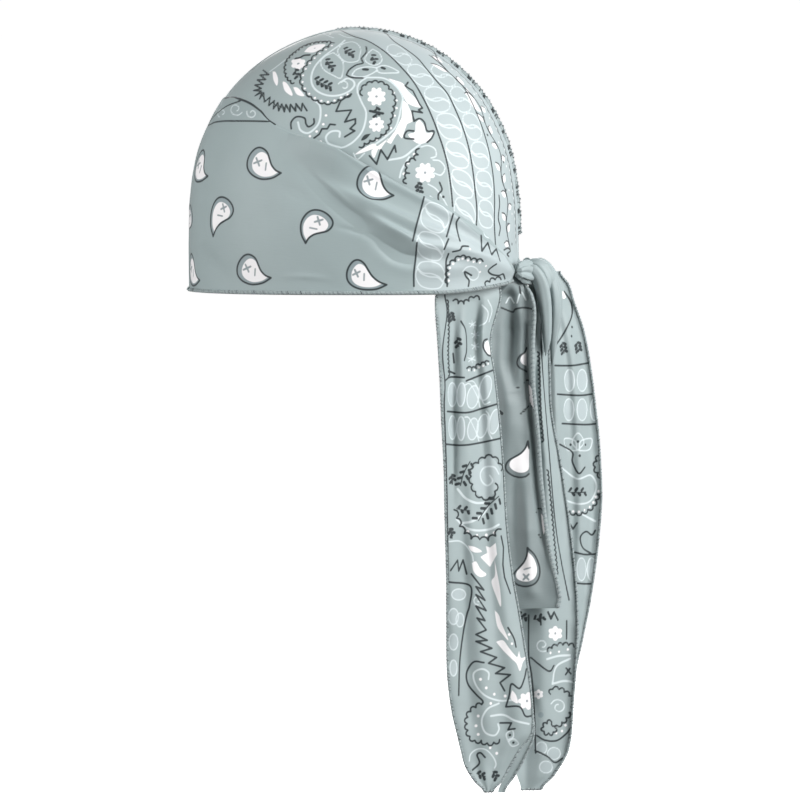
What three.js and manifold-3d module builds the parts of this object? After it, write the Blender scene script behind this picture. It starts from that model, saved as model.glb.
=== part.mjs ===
// A silky durag with a bandana print, tied behind the head, its flap and two tails hanging free.
// Millimetres, +Z up. The origin is the inside top of the crown, where it sits on a head.
// -Y is the forehead, +Y the nape, +X the wearer's left.

import * as THREE from 'three';
import Module from 'manifold-3d';
import { mergeVertices } from 'three/addons/utils/BufferGeometryUtils.js';

const wasm = await Module();
wasm.setup();

// Driving dimensions
const CLOTH = 1.2; // thickness of the satin, hems turned in
const TAIL_CLOTH = 1.4; // the tails' satin, doubled at the hems
const GAP = 0.4; // clearance between pieces that touch
const CROWN_DEPTH = 153.6; // inside top of the crown above its rim
const HALF_SPLIT = 0.2; // each crown half stands this far off the middle plane
const PLAN_SQUARENESS = 0.22; // how much fuller than an ellipse the crown is in plan
const BAND_LIFT = 1.3; // middle of the band's wall outside the crown's outer face
const HEM_RADIUS = 1.3; // overlocked hem under the band
const SEAM_WIDTH = 3.2; // ruffled seam over the crown
const SEAM_FRONT_RISE = 1.1; // how far it stands up over the forehead
const SEAM_RISE = 2.0; // and down the back
const SEAM_LOW_UNTIL = 75; // degrees over the crown from the forehead
const SEAM_FULL_FROM = 115;
const SEAM_RUFFLE = 0.5;
const SEAM_RUFFLE_PITCH = 9.0;
const SEAM_START = 60; // degrees up the forehead
const SEAM_END = 15; // degrees up the nape

// Grid sizes
const CROWN_CELLS = 11;
const BAND_STATIONS = 56;
const BAND_ROWS = 14;
const HEM_STATIONS = 72;
const HEM_SIDES = 5;
const SEAM_STATIONS = 80;
const STRAND_SIDES = 8;
const STRAND_STATIONS = 10;

// Outer face of the crown: distance from the middle of the rim, by elevation above it
const crownProfile = [
  { elevation: 0, front: 97.4, side: 75.8, back: 98.8 },
  { elevation: 15, front: 101.2, side: 79.4, back: 102.2 },
  { elevation: 30, front: 111.8, side: 88.5, back: 112.6 },
  { elevation: 45, front: 126.8, side: 102.6, back: 127.9 },
  { elevation: 60, front: 140.6, side: 123.4, back: 142.0 },
  { elevation: 75, front: 150.0, side: 145.2, back: 151.6 },
  { elevation: 90, front: 154.8, side: 154.8, back: 154.8 },
];

// Lower edge of the crown's cloth above the rim line, hidden behind the band
const crownEdge = [
  { azimuth: 0, height: 4 },
  { azimuth: 90, height: 4 },
  { azimuth: 115, height: 13 },
  { azimuth: 145, height: 13 },
  { azimuth: 162, height: 8 },
  { azimuth: 180, height: 7 },
];

// The forehead band, from the middle of the forehead to the knot: heights above the rim line
const bandOutline = [
  { azimuth: 0, top: 115.0, hem: 0.1 },
  { azimuth: 20, top: 115.3, hem: 0.3 },
  { azimuth: 35, top: 115.0, hem: 0.5 },
  { azimuth: 44, top: 109.5, hem: 0.6 },
  { azimuth: 52, top: 102.4, hem: 0.7 },
  { azimuth: 63, top: 96.6, hem: 0.8 },
  { azimuth: 78, top: 90.5, hem: 0.9 },
  { azimuth: 96, top: 80.6, hem: 1.0 },
  { azimuth: 109, top: 71.1, hem: 1.0 },
  { azimuth: 119, top: 63.3, hem: 1.0 },
  { azimuth: 127, top: 58.4, hem: 1.0 },
  { azimuth: 133, top: 54.5, hem: 1.1 },
  { azimuth: 139, top: 47.7, hem: 1.6 },
  { azimuth: 149, top: 38.2, hem: 3.0 },
  { azimuth: 161, top: 22.0, hem: 5.1 },
  { azimuth: 167, top: 15.5, hem: 6.2 },
];

// Folds that fan out of the knot and fade on the way to the forehead
const bandFolds = [
  {
    name: 'upper roll',
    path: [
      { azimuth: 168, height: 14, rise: 1.2, width: 2.2 },
      { azimuth: 149, height: 36, rise: 1.8, width: 3.0 },
      { azimuth: 127, height: 56, rise: 1.6, width: 3.6 },
      { azimuth: 109, height: 69, rise: 1.2, width: 4.0 },
      { azimuth: 78, height: 89, rise: 0.6, width: 4.0 },
      { azimuth: 58, height: 98, rise: 0.0, width: 5.0 },
    ],
  },
  {
    name: 'long ridge',
    path: [
      { azimuth: 168, height: 12, rise: 1.3, width: 2.0 },
      { azimuth: 149, height: 29, rise: 2.6, width: 3.2 },
      { azimuth: 133, height: 39, rise: 3.2, width: 4.0 },
      { azimuth: 120, height: 44, rise: 3.4, width: 4.5 },
      { azimuth: 99, height: 58, rise: 3.0, width: 5.5 },
      { azimuth: 75, height: 71, rise: 0.0, width: 9.0 },
    ],
  },
  {
    name: 'middle ridge',
    path: [
      { azimuth: 168, height: 10, rise: 1.3, width: 2.0 },
      { azimuth: 149, height: 20, rise: 2.6, width: 2.8 },
      { azimuth: 133, height: 27, rise: 3.2, width: 3.4 },
      { azimuth: 122, height: 32, rise: 3.6, width: 3.6 },
      { azimuth: 102, height: 46, rise: 2.0, width: 3.4 },
      { azimuth: 90, height: 51, rise: 0.0, width: 4.0 },
    ],
  },
  {
    name: 'low ridge',
    path: [
      { azimuth: 168, height: 8, rise: 1.0, width: 2.0 },
      { azimuth: 149, height: 12, rise: 1.8, width: 3.0 },
      { azimuth: 133, height: 15, rise: 2.2, width: 3.4 },
      { azimuth: 118, height: 17, rise: 1.8, width: 4.0 },
      { azimuth: 95, height: 22, rise: 0.8, width: 5.0 },
      { azimuth: 80, height: 26, rise: 0.0, width: 7.0 },
    ],
  },
];

// Hanging cloth: edges and sideways place by height. Front and back are along Y, the two depths along X.
const tailNear = [
  { z: -147.0, front: 58.0, back: 90.5, frontDepth: 59.5, backDepth: 28.0, fold: 0.0 },
  { z: -158.0, front: 56.0, back: 91.4, frontDepth: 60.5, backDepth: 29.5, fold: 1.2 },
  { z: -182.0, front: 57.3, back: 85.8, frontDepth: 60.0, backDepth: 34.0, fold: 4.0 },
  { z: -206.0, front: 58.6, back: 88.6, frontDepth: 58.5, backDepth: 34.5, fold: 3.8 },
  { z: -230.0, front: 59.4, back: 91.2, frontDepth: 57.0, backDepth: 34.5, fold: 3.4 },
  { z: -260.0, front: 60.7, back: 93.6, frontDepth: 55.5, backDepth: 34.0, fold: 3.0 },
  { z: -290.0, front: 61.2, back: 95.2, frontDepth: 54.0, backDepth: 33.0, fold: 2.8 },
  { z: -320.0, front: 61.9, back: 98.4, frontDepth: 52.5, backDepth: 32.0, fold: 3.0 },
  { z: -350.0, front: 61.8, back: 103.4, frontDepth: 51.0, backDepth: 31.0, fold: 3.2 },
  { z: -380.0, front: 62.1, back: 108.2, frontDepth: 49.5, backDepth: 30.5, fold: 3.2 },
  { z: -404.0, front: 64.7, back: 110.8, frontDepth: 48.0, backDepth: 31.0, fold: 2.8 },
  { z: -419.0, front: 68.0, back: 110.4, frontDepth: 46.3, backDepth: 31.5, fold: 2.2 },
  { z: -428.0, front: 70.0, back: 103.6, frontDepth: 45.2, backDepth: 33.0, fold: 1.8 },
  { z: -437.5, front: 72.4, back: 98.2, frontDepth: 44.0, backDepth: 35.0, fold: 1.4 },
  { z: -450.0, front: 79.8, back: 90.1, frontDepth: 41.0, backDepth: 38.0, fold: 0.5 },
];

// The cape also turns forward and round behind the near tail: turn is how wide that hidden arm is
const cape = [
  { z: -151.0, front: 95.3, back: 104.7, frontDepth: 21.0, backDepth: 11.0, fold: 0.5, turn: 24.0 },
  { z: -157.0, front: 89.3, back: 108.4, frontDepth: 22.5, backDepth: 12.0, fold: 3.5, turn: 32.0 },
  { z: -165.3, front: 86.3, back: 110.4, frontDepth: 23.0, backDepth: 13.0, fold: 5.5, turn: 38.0 },
  { z: -183.3, front: 84.3, back: 109.8, frontDepth: 23.0, backDepth: 14.0, fold: 6.5, turn: 44.0 },
  { z: -207.3, front: 83.3, back: 109.9, frontDepth: 22.5, backDepth: 14.5, fold: 5.5, turn: 47.0 },
  { z: -237.3, front: 82.8, back: 112.6, frontDepth: 22.0, backDepth: 14.5, fold: 3.6, turn: 49.0 },
  { z: -273.3, front: 83.8, back: 115.2, frontDepth: 21.5, backDepth: 14.5, fold: 2.4, turn: 50.0 },
  { z: -309.3, front: 85.3, back: 119.6, frontDepth: 21.0, backDepth: 14.0, fold: 1.6, turn: 50.0 },
  { z: -337.0, front: 86.8, back: 125.8, frontDepth: 20.5, backDepth: 13.5, fold: 1.2, turn: 48.0 },
  { z: -344.7, front: 88.3, back: 124.8, frontDepth: 20.5, backDepth: 14.0, fold: 1.0, turn: 44.0 },
];

const tailFarRoll = [
  { z: -183.0, front: 108.0, back: 117.0, frontDepth: 4.5, backDepth: -3.0, fold: 0.5 },
  { z: -202.8, front: 106.0, back: 117.6, frontDepth: 4.5, backDepth: -5.0, fold: 1.5 },
  { z: -226.8, front: 105.5, back: 118.4, frontDepth: 4.0, backDepth: -7.0, fold: 2.0 },
  { z: -256.8, front: 105.0, back: 123.4, frontDepth: 4.0, backDepth: -9.0, fold: 2.4 },
  { z: -292.8, front: 101.5, back: 128.6, frontDepth: 4.0, backDepth: -11.0, fold: 3.0 },
  { z: -322.8, front: 96.5, back: 132.1, frontDepth: 5.0, backDepth: -11.0, fold: 3.6 },
  { z: -346.8, front: 90.6, back: 133.8, frontDepth: 6.0, backDepth: -10.0, fold: 4.0 },
  { z: -364.8, front: 88.9, back: 133.9, frontDepth: 6.5, backDepth: -9.0, fold: 4.0 },
  { z: -400.8, front: 90.4, back: 131.7, frontDepth: 6.5, backDepth: -7.0, fold: 3.4 },
  { z: -430.8, front: 95.8, back: 129.0, frontDepth: 6.5, backDepth: -4.0, fold: 2.4 },
  { z: -445.8, front: 99.3, back: 121.0, frontDepth: 5.5, backDepth: -1.0, fold: 1.4 },
  { z: -454.5, front: 101.5, back: 113.8, frontDepth: 4.0, backDepth: 1.0, fold: 0.4 },
];

const tailFarOuter = [
  { z: -144.0, front: 112.5, back: 122.2, frontDepth: -15.0, backDepth: -22.0, fold: 0.3 },
  { z: -152.4, front: 113.0, back: 127.2, frontDepth: -14.5, backDepth: -26.0, fold: 1.2 },
  { z: -162.6, front: 113.6, back: 130.0, frontDepth: -14.0, backDepth: -29.0, fold: 2.0 },
  { z: -179.4, front: 116.4, back: 135.4, frontDepth: -13.5, backDepth: -33.0, fold: 3.0 },
  { z: -197.4, front: 119.4, back: 138.8, frontDepth: -14.0, backDepth: -36.0, fold: 4.0 },
  { z: -221.4, front: 120.2, back: 141.9, frontDepth: -15.0, backDepth: -38.0, fold: 4.4 },
  { z: -251.4, front: 120.8, back: 144.9, frontDepth: -17.0, backDepth: -39.0, fold: 4.4 },
  { z: -281.4, front: 121.6, back: 146.0, frontDepth: -19.0, backDepth: -39.0, fold: 4.2 },
  { z: -311.4, front: 122.8, back: 143.8, frontDepth: -20.5, backDepth: -38.0, fold: 3.6 },
  { z: -341.4, front: 123.9, back: 139.8, frontDepth: -20.0, backDepth: -35.0, fold: 2.6 },
  { z: -365.4, front: 125.6, back: 135.4, frontDepth: -18.5, backDepth: -31.0, fold: 1.6 },
  { z: -390.6, front: 127.2, back: 131.3, frontDepth: -17.0, backDepth: -24.0, fold: 0.5 },
];

const tailFarCorner = [
  { z: -420.5, front: 104.1, back: 110.3, frontDepth: 17.0, backDepth: 15.0, fold: 0.0 },
  { z: -432.5, front: 99.4, back: 105.8, frontDepth: 18.0, backDepth: 16.0, fold: 0.3 },
  { z: -444.5, front: 94.0, back: 99.3, frontDepth: 19.0, backDepth: 17.0, fold: 0.3 },
  { z: -455.3, front: 89.3, back: 92.8, frontDepth: 20.0, backDepth: 18.5, fold: 0.0 },
];

// Folds across each hanging piece: how many, where the first one starts, how far it drifts down its length,
// and what share of the piece is a hidden arm that turns forward
const foldPlans = {
  tail_near: { columns: 12, rows: 18, waves: 2.5, phase: 0.05, drift: 0.15, hidden: 0 },
  cape: { columns: 16, rows: 12, waves: 1.5, phase: 0.62, drift: -0.1, hidden: 0.5 },
  tail_far_roll: { columns: 9, rows: 16, waves: 1.5, phase: 0.3, drift: 0.1, hidden: 0 },
  tail_far_outer: { columns: 9, rows: 16, waves: 2.0, phase: 0.1, drift: 0.1, hidden: 0 },
  tail_far_corner: { columns: 2, rows: 4, waves: 1.0, phase: 0.0, drift: 0.0, hidden: 0 },
};
const TURN_DEPTH = 12; // how far the cape's hidden arm bows forward

// The knot's gathered strands: places along each, with the half sizes of its section there
const knotStrands = [
  {
    name: 'left strap end',
    path: [
      { x: 22.0, y: 100.2, z: -142.8, across: 4.4, along: 3.0 },
      { x: 17.0, y: 103.2, z: -142.2, across: 6.6, along: 4.6 },
      { x: 9.0, y: 107.0, z: -144.4, across: 6.0, along: 5.0 },
      { x: 0.0, y: 109.0, z: -147.6, across: 5.0, along: 4.0 },
    ],
  },
  {
    name: 'right strap end',
    path: [
      { x: -22.0, y: 100.2, z: -142.8, across: 4.4, along: 3.0 },
      { x: -17.0, y: 103.2, z: -142.2, across: 6.6, along: 4.6 },
      { x: -9.0, y: 107.0, z: -144.4, across: 6.0, along: 5.0 },
      { x: 0.0, y: 109.0, z: -147.6, across: 5.0, along: 4.0 },
    ],
  },
  {
    name: 'wrap',
    path: [
      { x: 1.0, y: 106.0, z: -138.5, across: 9.0, along: 3.0 },
      { x: 2.0, y: 113.0, z: -139.5, across: 10.0, along: 4.0 },
      { x: 0.0, y: 118.0, z: -148.0, across: 10.0, along: 4.4 },
      { x: -2.0, y: 114.5, z: -158.0, across: 8.5, along: 4.0 },
      { x: -1.0, y: 108.0, z: -160.0, across: 7.0, along: 3.0 },
    ],
  },
  {
    name: 'inner strand',
    path: [
      { x: 13.0, y: 105.0, z: -140.0, across: 3.2, along: 3.2 },
      { x: 10.5, y: 111.0, z: -144.0, across: 3.4, along: 3.4 },
      { x: 8.0, y: 115.5, z: -154.0, across: 3.4, along: 3.4 },
      { x: 5.0, y: 117.8, z: -168.0, across: 3.4, along: 3.4 },
      { x: 3.0, y: 117.5, z: -182.0, across: 3.2, along: 3.2 },
    ],
  },
  {
    name: 'outer strand',
    path: [
      { x: 5.0, y: 107.0, z: -138.0, across: 3.6, along: 3.6 },
      { x: 4.0, y: 115.0, z: -140.5, across: 4.0, along: 4.0 },
      { x: 2.0, y: 120.5, z: -151.0, across: 4.0, along: 4.0 },
      { x: 0.0, y: 121.8, z: -166.0, across: 3.8, along: 3.8 },
      { x: -1.0, y: 120.0, z: -182.0, across: 3.4, along: 3.4 },
    ],
  },
];

const satinMaterial = (color) => new THREE.MeshStandardMaterial({ color, roughness: 0.45, metalness: 0 });
const SATIN = 0xa8babe;
const SATIN_PRINTED = 0xb4c2c5;
const OVERLOCK = 0x7c8c90;

const radians = THREE.MathUtils.degToRad;
const mix = THREE.MathUtils.lerp;

// Smooth value of a column at a key, with level ends
function smoothColumn(rows, key, column, at) {
  const last = rows.length - 1;
  const inside = THREE.MathUtils.clamp(at, rows[0][key], rows[last][key]);
  let i = 0;
  while (i < last - 1 && inside > rows[i + 1][key]) i += 1;
  const slope = (k) => {
    if (k === 0 || k === last) return 0;
    return (rows[k + 1][column] - rows[k - 1][column]) / (rows[k + 1][key] - rows[k - 1][key]);
  };
  const span = rows[i + 1][key] - rows[i][key];
  const t = (inside - rows[i][key]) / span;
  const rise = t * t * (3 - 2 * t);
  return (
    rows[i][column] * (1 - rise) +
    rows[i + 1][column] * rise +
    slope(i) * span * t * (1 - t) * (1 - t) -
    slope(i + 1) * span * t * t * (1 - t)
  );
}

// Outer radius of the crown in a direction: azimuth from the forehead towards either ear
function crownRadius(azimuth, elevation) {
  const along = Math.cos(radians(azimuth));
  const across = Math.sin(radians(azimuth));
  const long = smoothColumn(crownProfile, 'elevation', along > 0 ? 'front' : 'back', elevation);
  const side = smoothColumn(crownProfile, 'elevation', 'side', elevation);
  const power = 2 + PLAN_SQUARENESS * Math.cos(radians(elevation));
  return (Math.abs(along / long) ** power + Math.abs(across / side) ** power) ** (-1 / power);
}

// A point over the crown, lifted off its outer face; azimuth is negative on the wearer's right
function crownPoint(azimuth, elevation, lift) {
  const radius = crownRadius(azimuth, elevation) + lift;
  const level = radius * Math.cos(radians(elevation));
  return new THREE.Vector3(
    level * Math.sin(radians(azimuth)),
    -level * Math.cos(radians(azimuth)),
    radius * Math.sin(radians(elevation)) - CROWN_DEPTH,
  );
}

// Elevation at which the crown stands at a height above its rim
function elevationAt(azimuth, height) {
  let low = 0;
  let high = 90;
  for (let step = 0; step < 24; step += 1) {
    const middle = (low + high) / 2;
    if (crownRadius(azimuth, middle) * Math.sin(radians(middle)) < height) low = middle;
    else high = middle;
  }
  return low;
}

// A point at a height above the rim line, straight down below the rim
function wallPoint(azimuth, height, lift) {
  const point = crownPoint(azimuth, elevationAt(azimuth, Math.max(height, 0)), lift);
  point.z += Math.min(height, 0);
  return point;
}

// How far the band's folds stand out at a place
function foldRise(azimuth, height) {
  const from = Math.abs(azimuth);
  let rise = 0;
  for (const fold of bandFolds) {
    const path = [...fold.path].reverse();
    if (from < path[0].azimuth) continue;
    const middle = smoothColumn(path, 'azimuth', 'height', from);
    const width = smoothColumn(path, 'azimuth', 'width', from);
    const amount = smoothColumn(path, 'azimuth', 'rise', from);
    rise += amount * Math.exp(-(((height - middle) / width) ** 2));
  }
  return rise;
}

// Closed geometry from positions and faces, turned so that its faces point out
function closedGeometry(points, faces) {
  let volume = 0;
  for (const [a, b, c] of faces) {
    volume += points[a].dot(new THREE.Vector3().crossVectors(points[b], points[c]));
  }
  const index = faces.flatMap(([a, b, c]) => (volume < 0 ? [a, c, b] : [a, b, c]));
  const geometry = new THREE.BufferGeometry();
  geometry.setAttribute('position', new THREE.Float32BufferAttribute(points.flatMap((p) => p.toArray()), 3));
  geometry.setIndex(index);
  return geometry;
}

// A wall of cloth over a grid of middle points, closed round its four edges
function clothGeometry(columns, rows, pointAt, thickness) {
  const grid = [];
  for (let j = 0; j <= rows; j += 1) {
    for (let i = 0; i <= columns; i += 1) grid.push(pointAt(i / columns, j / rows));
  }
  const at = (i, j) => j * (columns + 1) + i;
  const clampTo = (value, most) => Math.min(Math.max(value, 0), most);
  const normals = grid.map((_, k) => {
    const i = k % (columns + 1);
    const j = Math.floor(k / (columns + 1));
    const acrossCell = grid[at(clampTo(i + 1, columns), j)].clone().sub(grid[at(clampTo(i - 1, columns), j)]);
    const alongCell = grid[at(i, clampTo(j + 1, rows))].clone().sub(grid[at(i, clampTo(j - 1, rows))]);
    return acrossCell.cross(alongCell).normalize();
  });
  const face = (side) => grid.map((p, k) => p.clone().addScaledVector(normals[k], (side * thickness) / 2));
  const points = [...face(1), ...face(-1)];
  const under = grid.length;
  const faces = [];
  const quad = (a, b, c, d) => {
    const even = points[a].distanceTo(points[c]) <= points[b].distanceTo(points[d]);
    if (even) faces.push([a, b, c], [a, c, d]);
    else faces.push([a, b, d], [b, c, d]);
  };
  for (let j = 0; j < rows; j += 1) {
    for (let i = 0; i < columns; i += 1) {
      quad(at(i, j), at(i + 1, j), at(i + 1, j + 1), at(i, j + 1));
      quad(under + at(i, j + 1), under + at(i + 1, j + 1), under + at(i + 1, j), under + at(i, j));
    }
  }
  const edge = [];
  for (let i = 0; i < columns; i += 1) edge.push(at(i, 0));
  for (let j = 0; j < rows; j += 1) edge.push(at(columns, j));
  for (let i = columns; i > 0; i -= 1) edge.push(at(i, rows));
  for (let j = rows; j > 0; j -= 1) edge.push(at(0, j));
  edge.forEach((a, k) => {
    const b = edge[(k + 1) % edge.length];
    quad(b, a, under + a, under + b);
  });
  return closedGeometry(points, faces);
}

// A closed strand through rings of equal count, its two ends capped
function strandGeometry(rings) {
  const sides = rings[0].length;
  const points = rings.flat();
  const faces = [];
  for (let j = 0; j < rings.length - 1; j += 1) {
    for (let i = 0; i < sides; i += 1) {
      const a = j * sides + i;
      const b = j * sides + ((i + 1) % sides);
      faces.push([a, b, b + sides], [a, b + sides, a + sides]);
    }
  }
  const end = (rings.length - 1) * sides;
  for (let i = 1; i < sides - 1; i += 1) {
    faces.push([0, i + 1, i], [end, end + i, end + i + 1]);
  }
  return closedGeometry(points, faces);
}

// One half of the crown, over a half disc whose straight edge is the middle plane
function crownHalf(side) {
  return clothGeometry(
    2 * CROWN_CELLS,
    CROWN_CELLS,
    (u, v) => {
      const q = 2 * u - 1;
      const sector = Math.abs(q) > v;
      const reach = sector ? Math.abs(q) : v;
      const turn = sector ? 45 * (v / Math.abs(q)) : 90 - (v === 0 ? 0 : 45 * Math.abs(q / v));
      const azimuth = q < 0 ? turn : 180 - turn;
      const edge = elevationAt(azimuth, smoothColumn(crownEdge, 'azimuth', 'height', azimuth));
      const point = crownPoint(side * azimuth, 90 - reach * (90 - edge), -CLOTH / 2);
      point.x += side * HALF_SPLIT;
      if (v === 0) point.x = side * HALF_SPLIT;
      return point;
    },
    CLOTH,
  );
}

// The ruffled seam that joins the halves, from the forehead over the top to the nape
function centreSeam() {
  const sweep = 180 - SEAM_START - SEAM_END;
  const rings = [];
  for (let k = 0; k <= SEAM_STATIONS; k += 1) {
    const angle = SEAM_START + (sweep * k) / SEAM_STATIONS;
    const azimuth = angle > 90 ? 180 : 0;
    const elevation = angle > 90 ? 180 - angle : angle;
    const base = crownPoint(azimuth, elevation, GAP);
    const out = crownPoint(azimuth, elevation, GAP + 1).sub(base);
    const wave = (2 * Math.PI * radians(angle) * CROWN_DEPTH) / SEAM_RUFFLE_PITCH;
    const full = THREE.MathUtils.smoothstep(angle, SEAM_LOW_UNTIL, SEAM_FULL_FROM);
    const rise = mix(SEAM_FRONT_RISE, SEAM_RISE, full) - GAP + SEAM_RUFFLE * full * Math.sin(wave);
    const lean = SEAM_RUFFLE * full * Math.cos(wave);
    const half = SEAM_WIDTH / 2;
    rings.push(
      [
        [-half, 0],
        [half, 0],
        [half + lean, rise * 0.7],
        [lean, rise],
        [lean - half, rise * 0.7],
      ].map(([x, lift]) => base.clone().addScaledVector(out, lift).setX(x)),
    );
  }
  return strandGeometry(rings);
}

// The band: one wall of cloth from the knot round the forehead and back to the knot
function foreheadBand() {
  const reach = bandOutline[bandOutline.length - 1].azimuth;
  return clothGeometry(
    BAND_STATIONS,
    BAND_ROWS,
    (u, v) => {
      const azimuth = mix(-reach, reach, u);
      const low = smoothColumn(bandOutline, 'azimuth', 'hem', Math.abs(azimuth));
      const high = smoothColumn(bandOutline, 'azimuth', 'top', Math.abs(azimuth));
      const height = mix(low, high, v);
      return wallPoint(azimuth, height, BAND_LIFT + foldRise(azimuth, height));
    },
    CLOTH,
  );
}

// The rolled, overlocked hem that runs along under the band
function bandHem() {
  const reach = bandOutline[bandOutline.length - 1].azimuth;
  const rings = [];
  for (let k = 0; k <= HEM_STATIONS; k += 1) {
    const azimuth = mix(-reach, reach, k / HEM_STATIONS);
    const low = smoothColumn(bandOutline, 'azimuth', 'hem', Math.abs(azimuth));
    const lift = BAND_LIFT + foldRise(azimuth, low);
    const middle = wallPoint(azimuth, low, lift);
    const out = wallPoint(azimuth, low, lift + 1).sub(middle).setZ(0).normalize();
    middle.z -= HEM_RADIUS + GAP;
    const ring = [];
    for (let i = 0; i < HEM_SIDES; i += 1) {
      const turn = (2 * Math.PI * (i + 0.25)) / HEM_SIDES;
      const point = middle.clone().addScaledVector(out, HEM_RADIUS * Math.cos(turn));
      point.z += HEM_RADIUS * Math.sin(turn);
      ring.push(point);
    }
    rings.push(ring);
  }
  return strandGeometry(rings);
}

// A hanging piece of cloth between its front and back edges, with soft folds down its length
function hangingCloth(table, plan) {
  const rows = [...table].reverse();
  const top = table[0].z;
  const bottom = rows[0].z;
  return clothGeometry(
    plan.columns,
    plan.rows,
    (u, v) => {
      const z = mix(top, bottom, v);
      const value = (column) => smoothColumn(rows, 'z', column, z);
      const shown = Math.max(0, u - plan.hidden) / (1 - plan.hidden);
      const wave = plan.waves * shown + plan.phase + plan.drift * v;
      const ripple = value('fold') * Math.sin(2 * Math.PI * wave);
      const place = new THREE.Vector3(
        mix(value('frontDepth'), value('backDepth'), shown) + ripple,
        mix(value('front'), value('back'), shown),
        z,
      );
      if (u < plan.hidden) {
        const round = Math.PI * (1 - u / plan.hidden);
        place.x -= (value('turn') * (1 - Math.cos(round))) / 2;
        place.y -= TURN_DEPTH * Math.sin(round);
      }
      return place;
    },
    TAIL_CLOTH,
  );
}

// One gathered strand of the knot, lofted along its path
function knotStrand(path) {
  const curve = new THREE.CatmullRomCurve3(path.map((p) => new THREE.Vector3(p.x, p.y, p.z)));
  const stations = path.map((p, k) => ({ along: k / (path.length - 1), wide: p.across, thick: p.along }));
  const rings = [];
  for (let k = 0; k <= STRAND_STATIONS; k += 1) {
    const t = k / STRAND_STATIONS;
    const middle = curve.getPoint(t);
    const ahead = curve.getTangent(t);
    const level = Math.abs(ahead.x) > 0.7;
    const sideways = new THREE.Vector3(level ? 0 : 1, 0, level ? 1 : 0);
    const wide = sideways.addScaledVector(ahead, -sideways.dot(ahead)).normalize();
    const thick = new THREE.Vector3().crossVectors(ahead, wide);
    const ring = [];
    for (let i = 0; i < STRAND_SIDES; i += 1) {
      const turn = (2 * Math.PI * i) / STRAND_SIDES;
      ring.push(
        middle
          .clone()
          .addScaledVector(wide, smoothColumn(stations, 'along', 'wide', t) * Math.cos(turn))
          .addScaledVector(thick, smoothColumn(stations, 'along', 'thick', t) * Math.sin(turn)),
      );
    }
    rings.push(ring);
  }
  return strandGeometry(rings);
}

// Solid for joining, and geometry back from a solid
function toSolid(geometry) {
  const merged = mergeVertices(geometry, 1e-4);
  return new wasm.Manifold(
    new wasm.Mesh({
      numProp: 3,
      vertProperties: new Float32Array(merged.attributes.position.array),
      triVerts: new Uint32Array(merged.index.array),
    }),
  );
}

function fromSolid(solid) {
  const mesh = solid.getMesh();
  const geometry = new THREE.BufferGeometry();
  geometry.setAttribute('position', new THREE.Float32BufferAttribute(mesh.vertProperties, 3));
  geometry.setIndex([...mesh.triVerts]);
  return geometry;
}

function knotGeometry() {
  return fromSolid(knotStrands.map((strand) => toSolid(knotStrand(strand.path))).reduce((a, b) => a.add(b)));
}

const durag = new THREE.Group();

function add(name, geometry, color) {
  const mesh = new THREE.Mesh(geometry, satinMaterial(color));
  mesh.name = name;
  durag.add(mesh);
}

add('crown_left', crownHalf(1), SATIN_PRINTED);
add('crown_right', crownHalf(-1), SATIN_PRINTED);
add('centre_seam', centreSeam(), OVERLOCK);
add('forehead_band', foreheadBand(), SATIN);
add('band_hem', bandHem(), OVERLOCK);
add('knot', knotGeometry(), SATIN_PRINTED);
add('tail_near', hangingCloth(tailNear, foldPlans.tail_near), SATIN_PRINTED);
add('cape', hangingCloth(cape, foldPlans.cape), SATIN);
add('tail_far_roll', hangingCloth(tailFarRoll, foldPlans.tail_far_roll), SATIN_PRINTED);
add('tail_far_outer', hangingCloth(tailFarOuter, foldPlans.tail_far_outer), SATIN_PRINTED);
add('tail_far_corner', hangingCloth(tailFarCorner, foldPlans.tail_far_corner), SATIN_PRINTED);

export default durag;
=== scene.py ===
"""A silky durag with a bandana print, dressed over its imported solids.

The shapes are worked out in millimetres in the row frame: +Z up, -Y the forehead, +X the wearer's left,
and the origin at the inside top of the crown. Folds and printed marks are charted as places in a level
picture of the object, and from there they are laid on the cloth.
"""

from __future__ import annotations

import logging
import math
from collections.abc import Sequence
from dataclasses import dataclass
from enum import Enum

import bpy
import numpy as np
from mathutils import Matrix, Vector
from mathutils.kdtree import KDTree

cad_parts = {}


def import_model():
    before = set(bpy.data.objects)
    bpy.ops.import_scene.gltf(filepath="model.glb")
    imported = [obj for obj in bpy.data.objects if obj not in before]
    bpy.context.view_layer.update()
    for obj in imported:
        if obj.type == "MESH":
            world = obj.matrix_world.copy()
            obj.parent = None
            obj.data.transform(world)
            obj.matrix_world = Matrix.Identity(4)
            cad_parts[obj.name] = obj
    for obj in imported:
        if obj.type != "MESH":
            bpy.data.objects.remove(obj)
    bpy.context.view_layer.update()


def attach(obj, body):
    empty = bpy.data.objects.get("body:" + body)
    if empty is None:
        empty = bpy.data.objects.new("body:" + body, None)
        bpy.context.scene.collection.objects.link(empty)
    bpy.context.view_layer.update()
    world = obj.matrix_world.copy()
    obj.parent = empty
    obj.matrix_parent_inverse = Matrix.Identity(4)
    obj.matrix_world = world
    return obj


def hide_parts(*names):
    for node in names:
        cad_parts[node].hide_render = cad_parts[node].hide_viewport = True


LOG = logging.getLogger("durag")
MM = 0.001
FAR = 9.0  # millimetres: a point this far from a mark has no ink of it
FOLD_STEP = 6.0  # pixels between the points of a fold's line
FOLD_REACH = 2.6  # how many of its widths a fold is felt away from its line
MARK_STEP = 1.6  # pixels between the points of a mark's line
LINE_INK = 1.1  # millimetres: the usual width of a dark line
Place = tuple[float, float]


class Ink(Enum):
    """The inks of the print, each with the name of its attribute on the mesh."""

    DARK = "ink_dark"
    GREY = "ink_grey"
    WHITE = "ink_white"
    LINE = "ink_line"
    SHADE = "ink_shade"
    PALE = "ink_pale"


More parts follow.
